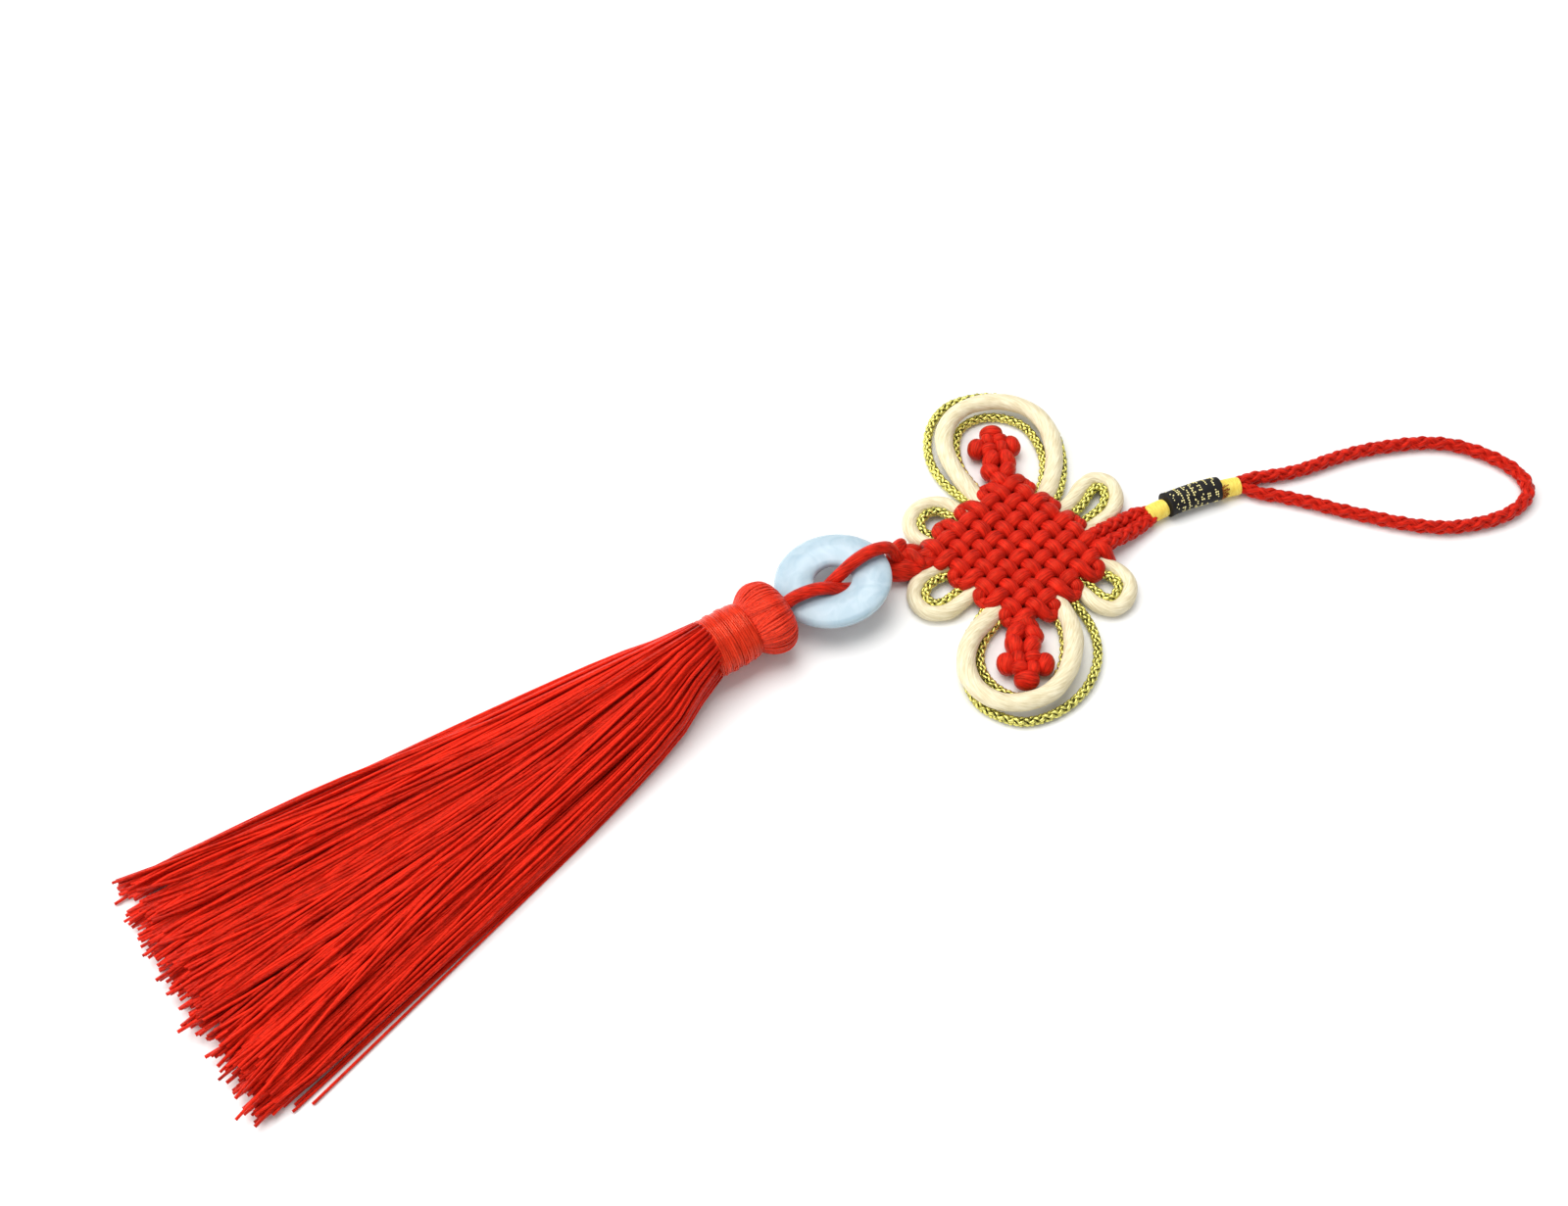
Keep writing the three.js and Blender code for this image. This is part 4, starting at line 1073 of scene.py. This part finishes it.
def on_tassel(distance, radius, angle):
    """A point round the tassel's axis, which is wider than tall because it lies down."""
    return (tassel_start + distance * tassel_ahead + radius * math.cos(angle) * tassel_across
            + radius * FLATNESS * math.sin(angle) * UP)


# %% Head threads
half_head = HEAD["wide"] / 2
DOME = [(3.4, 0.1 * half_head), (1.5, 0.2 * half_head), (0.3, 0.36 * half_head),
        (0.3, 0.58 * half_head), (1.8, 0.85 * half_head), (4.8, 0.99 * half_head),
        (7.6, 0.93 * half_head), (9.8, 0.76 * half_head), (11.2, HEAD["core"] / 2),
        (13.0, HEAD["core"] / 2 - 0.6)]
HEAD_THREADS = 340
HEAD_THREAD = 0.62
FLOOR_ROOM = 0.36
SUNK, DRIFT = 0.65, 0.2     # how deep a thread may lie, in mm, and how far it may lean, in radians
BUNCHING, FOLD = 0.34, 0.24
HEAD_STEP = 0.95
SPACING = 0.4               # how unevenly the threads are set round the head
head_rng = random.Random(61)


def head_thread(number):
    """One thread over the dome, at its own angle and depth."""
    angle = 2 * math.pi * (number + head_rng.uniform(-SPACING, SPACING)) / HEAD_THREADS
    sunk = head_rng.uniform(0, SUNK)
    drift = head_rng.uniform(-DRIFT, DRIFT)
    points = []
    for k, (distance, radius) in enumerate(DOME):
        over = math.sin(math.pi * k / (len(DOME) - 1))
        swerve = (drift + BUNCHING * math.sin(2 * angle + 0.6)) * over
        swerve += head_rng.uniform(-0.012, 0.012)
        fold = FOLD * math.sin(3 * angle + 1.0) * (0.6 < radius / half_head)
        place = on_tassel(distance + 0.4 * sunk, max(0.3, radius - sunk * 0.5 - HEAD_THREAD / 2 + fold),
                          angle + swerve)
        place[2] = max(place[2], FLOOR_ROOM + 0.3 * sunk)
        points.append(place)
    line = route(points, HEAD_STEP)
    axis = tassel_start + np.outer((line - tassel_start) @ tassel_ahead, tassel_ahead)
    out = unit(line - axis + 1e-6)
    tangent = directions(line)
    out = unit(out - tangent * (out * tangent).sum(axis=1, keepdims=True) + 1e-6)
    # A thread that lies deeper gets a lower tint: painted shade.
    return strand(line, HEAD_THREAD, HEAD_THREAD * 0.85, normals=out,
                  tint=head_rng.uniform(0.35, 1.2) - 0.6 * sunk)


head_parts = [head_thread(number) for number in range(HEAD_THREADS)]
CORE = [(2.6, 0.55), (3.4, 0.75), (4.8, 0.84), (7.6, 0.8), (9.8, 0.62), (12.5, 5.2 / half_head)]
core_places = np.linspace(CORE[0][0], CORE[-1][0], 24)
core_line = np.array([on_tassel(d, 0, 0) for d in core_places])
core_radius = np.interp(core_places, [d for d, _ in CORE], [share * half_head for _, share in CORE])
core_tall = np.minimum(2 * core_radius * FLATNESS, 2 * TASSEL["z"] - 1.6)
# The core's low tint paints the gaps between the threads darker: painted shade.
head_parts.append(strand(core_line, 2 * core_radius, core_tall, tint=0.25))
# The head wears the skirt's thread painted lighter: painted light.
dress(tubes("head_threads", head_parts, sides=6), HANK_THREAD_PAINTED_LIGHTER, "red_thread", "tassel_head")

# %% [markdown]
# ## Band
# Under the head the hank is wound tight with glossy thread, some two dozen turns. Where the light
# meets the turns squarely it draws one bright bar across the band, and beside it they go deep red.

# %% Band
BAND_THREAD = 0.56
LOOSE_ROOM = 0.5
LOOSE_TURNS = (0, 5, 11, 16)


def band_place(distance):
    """Places on the tassel's axis, for the winding."""
    return tassel_start + distance * tassel_ahead, tassel_across, UP


band_start = HEAD["length"] + GAP
band_end = HEAD["length"] + BAND["length"]
band_parts = winding(band_place, band_start, band_end, BAND["wide"], BAND["wide"] * FLATNESS,
                     BAND_THREAD, seed=71, ends_in=0.45)
loose_wide = BAND["wide"] + LOOSE_ROOM
kept = winding(band_place, band_start + 1.0, band_end - 0.6, loose_wide, loose_wide * FLATNESS,
               BAND_THREAD, seed=72, ends_in=0.6, core=False)[0]
for first in LOOSE_TURNS:
    span = slice(first * TURN_POINTS, (first + 2) * TURN_POINTS + 1)
    band_parts.append(strand(*(kept[key][span] for key in ("line", "wide", "deep", "normals")), 0.7))
dress(tubes("band_winding", band_parts, sides=8), WOUND_THREAD, "red_thread", "tassel_band")

# %% [markdown]
# ## Skirt
# Several hundred threads leave the band in a dense oval bundle and fan out over the table. Laid
# down, they settle into a few loose layers, cling together in locks, cross here and there, and end
# in a ragged cut. Each thread is a thin tube through six stations. At the band its place is its
# rank in the oval, and at the cut end the same rank says how far sideways and how high it lies.

# %% Skirt stations
SKIRT_BEARING = 218
SKIRT_LENGTH = 134
SKIRT_START = 0.8
skirt_ahead, skirt_across = axes(SKIRT_BEARING)
skirt_start = np.array([TASSEL["x"], TASSEL["y"], 0.0])
skirt_start += tassel_ahead * (HEAD["length"] + BAND["length"] + SKIRT_START)

STATIONS = [
    {"share": -0.012, "wide": 12.4, "thick": 10.4, "z": 7.8},
    {"share": 0.035, "wide": 16.0, "thick": 10.8, "z": 7.0},
    {"share": 0.12, "wide": 25.5, "thick": 8.6, "z": 5.2},
    {"share": 0.34, "wide": 39.0, "thick": 5.6, "z": 3.3},
    {"share": 0.65, "wide": 52.5, "thick": 4.0, "z": 2.4},
    {"share": 1.0, "wide": 66.0, "thick": 3.4, "z": 2.05},
]
THREADS = 800
THREAD_WIDE = 0.82
THREAD_SPAN = (0.8, 1.1)
THREAD_FLOOR = 0.46
LOCKS = 64
THREAD_STEP = 9.0
CROSSING_LOCKS = 0.36
LONE_THREADS = 0.2
LOCK_STEP = 0.9       # how far a lock wanders from one station to the next, in mm
CROSSING_DRIFT, CROSSING_LEVEL, LOCK_LIFT = (0.12, 0.4), (0.8, 1.25), (-0.3, 0.9)
LONE_LEVEL = (0.9, 1.7)
LIFTED = (0.9, 0.6)   # a lifted lock stands highest some way before its cut end
RANK_BLUR = 0.02
LATE = 1.7            # threads stray late: as this power of how far along they are
EDGE_SINK = 0.92      # how far the edges of the skirt flatten
CUT_SCATTER = 1.9     # unevenness of the cut, and the others, in mm
THREAD_SCATTER, LONE_SCATTER, JITTER, TIP_SCATTER = 1.1, 8.5, 0.45, 0.4
skirt_rng = random.Random(81)


def skirt_point(distance, sideways, z):
    """A point so far along the skirt and so far to its side."""
    place = skirt_start + distance * skirt_ahead + sideways * skirt_across
    return np.array([place[0], place[1], max(z, THREAD_FLOOR)])


def wander(step):
    """A random walk through the stations, for how far a lock has strayed at each."""
    place, walk = 0.0, []
    for _ in STATIONS:
        walk.append(place)
        place += skirt_rng.gauss(0, step)
    return walk


locks = []
for _ in range(LOCKS):
    crossing = skirt_rng.random() < CROSSING_LOCKS
    locks.append({
        "walk": wander(LOCK_STEP),
        "drift": skirt_rng.choice((-1, 1)) * skirt_rng.uniform(*CROSSING_DRIFT) if crossing else 0.0,
        "level": skirt_rng.uniform(*CROSSING_LEVEL) if crossing else None,
        "lift": skirt_rng.uniform(*LOCK_LIFT),
    })


def skirt_thread():
    """One thread from the band to its cut end."""
    rank = skirt_rng.uniform(-1, 1)
    lock = locks[min(LOCKS - 1, int((rank + skirt_rng.gauss(0, RANK_BLUR) + 1) / 2 * LOCKS))]
    level = skirt_rng.uniform(-1, 1)
    if lock["level"] is not None:
        level = lock["level"] + 0.3 * level
    reach = SKIRT_LENGTH + skirt_rng.gauss(0, CUT_SCATTER) + 0.5 * lock["walk"][-1]
    lone = skirt_rng.gauss(0, THREAD_SCATTER)
    if skirt_rng.random() < LONE_THREADS:
        lone, level = skirt_rng.gauss(0, LONE_SCATTER), skirt_rng.uniform(*LONE_LEVEL)
    edge_room = math.sqrt(1 - rank ** 2)
    points = []
    for k, station in enumerate(STATIONS):
        free = k / (len(STATIONS) - 1)
        late = max(0.0, station["share"]) ** LATE
        at = max(-1.0, min(1.0, rank + lock["drift"] * edge_room * late))
        room = math.sqrt(1 - at ** 2 * EDGE_SINK)
        limit = station["wide"] / 2
        astray = free * (lock["walk"][k] + skirt_rng.gauss(0, JITTER)) + late * lone
        sideways = at * limit + room * astray
        sideways = max(-limit, min(limit, sideways))
        z = station["z"] - station["thick"] / 2 * (1 - room) * free
        z += level * room * station["thick"] / 2
        z += LIFTED[0] * free * (1 - LIFTED[1] * free) * lock["lift"]
        points.append(skirt_point(station["share"] * reach, sideways, z))
    tip = skirt_rng.gauss(0, TIP_SCATTER)
    points.append(points[-1] + skirt_across * tip + skirt_ahead * 0.9)
    line = route(points, THREAD_STEP)
    # Threads higher in the pile get a little more tint and lower ones less: painted light and shade
    # over a random tone.
    tint = 0.9 * skirt_rng.random() + 0.1 * (1 + level) - 0.05
    return strand(line, THREAD_WIDE * skirt_rng.uniform(*THREAD_SPAN), tint=tint)


skirt_parts = [skirt_thread() for _ in range(THREADS)]

# %% Strays at the near edge
STRAYS = [(31.8, 1.0, 0.5, 2), (32.2, 1.7, 0.5, 4), (32.4, 2.5, 0.5, 3), (32.6, 3.4, 0.5, 7),
          (31.9, 0.2, 0.6, 5)]
STRAY_FROM = 0.45
STRAY_WIDE = 0.68
for edge, spread, height, shorter in STRAYS:
    points = []
    for station in STATIONS:
        share = station["share"]
        sideways = edge * station["wide"] / STATIONS[-1]["wide"]
        sideways += spread * max(0.0, share - STRAY_FROM) / (1 - STRAY_FROM)
        z = max(height, station["z"] - station["thick"] * 0.3 * (1 - share) - 2.0 * share)
        points.append(skirt_point(share * (SKIRT_LENGTH - shorter), sideways,
                                  z if share < 0.3 else height))
    skirt_parts.append(strand(route(points, THREAD_STEP), STRAY_WIDE, tint=0.7))
dress(tubes("skirt_threads", skirt_parts, sides=6), TASSEL_THREAD, "red_thread", "tassel_skirt")
print("threads in the skirt:", len(skirt_parts))

# %% [markdown]
# ## Table and light
# The photograph is taken on white under even studio light: a wide soft source above, a little
# stronger from the left and behind, so the cords shine along their tops and leave short, soft
# shadows. A large white floor, a pale world and three soft lamps give the same.

# %% Floor
FLOOR_SIZE = 6.0
bpy.ops.object.select_all(action="DESELECT")
bpy.ops.mesh.primitive_plane_add(size=FLOOR_SIZE, location=(0, 0, 0))
floor = bpy.context.object
floor.name = "floor"
floor.data.materials.append(new_material("matt white paper", Roughness=0.9,
                                         Base_Color=colour("F4F4F3")))

# %% Light
WORLD_LIGHT = 0.42
world = bpy.context.scene.world or bpy.data.worlds.new("studio")
bpy.context.scene.world = world
world.use_nodes = True
background = world.node_tree.nodes["Background"]
background.inputs["Color"].default_value = (1, 1, 1, 1)
background.inputs["Strength"].default_value = WORLD_LIGHT

LAMPS = [
    {"name": "top softbox", "place": (-0.25, 0.35, 1.1), "size": 1.1, "power": 14.0},
    {"name": "left softbox", "place": (-1.1, -0.2, 0.7), "size": 0.8, "power": 9.0},
    {"name": "front fill", "place": (0.5, -1.0, 0.9), "size": 0.8, "power": 2.0},
]
for lamp in LAMPS:
    aim = -Vector(lamp["place"])
    bpy.ops.object.light_add(type="AREA", location=lamp["place"],
                             rotation=aim.to_track_quat("-Z", "Y").to_euler())
    light = bpy.context.object
    light.name = lamp["name"]
    light.data.size = lamp["size"]
    light.data.energy = lamp["power"]
bpy.context.scene.view_settings.view_transform = "Standard"
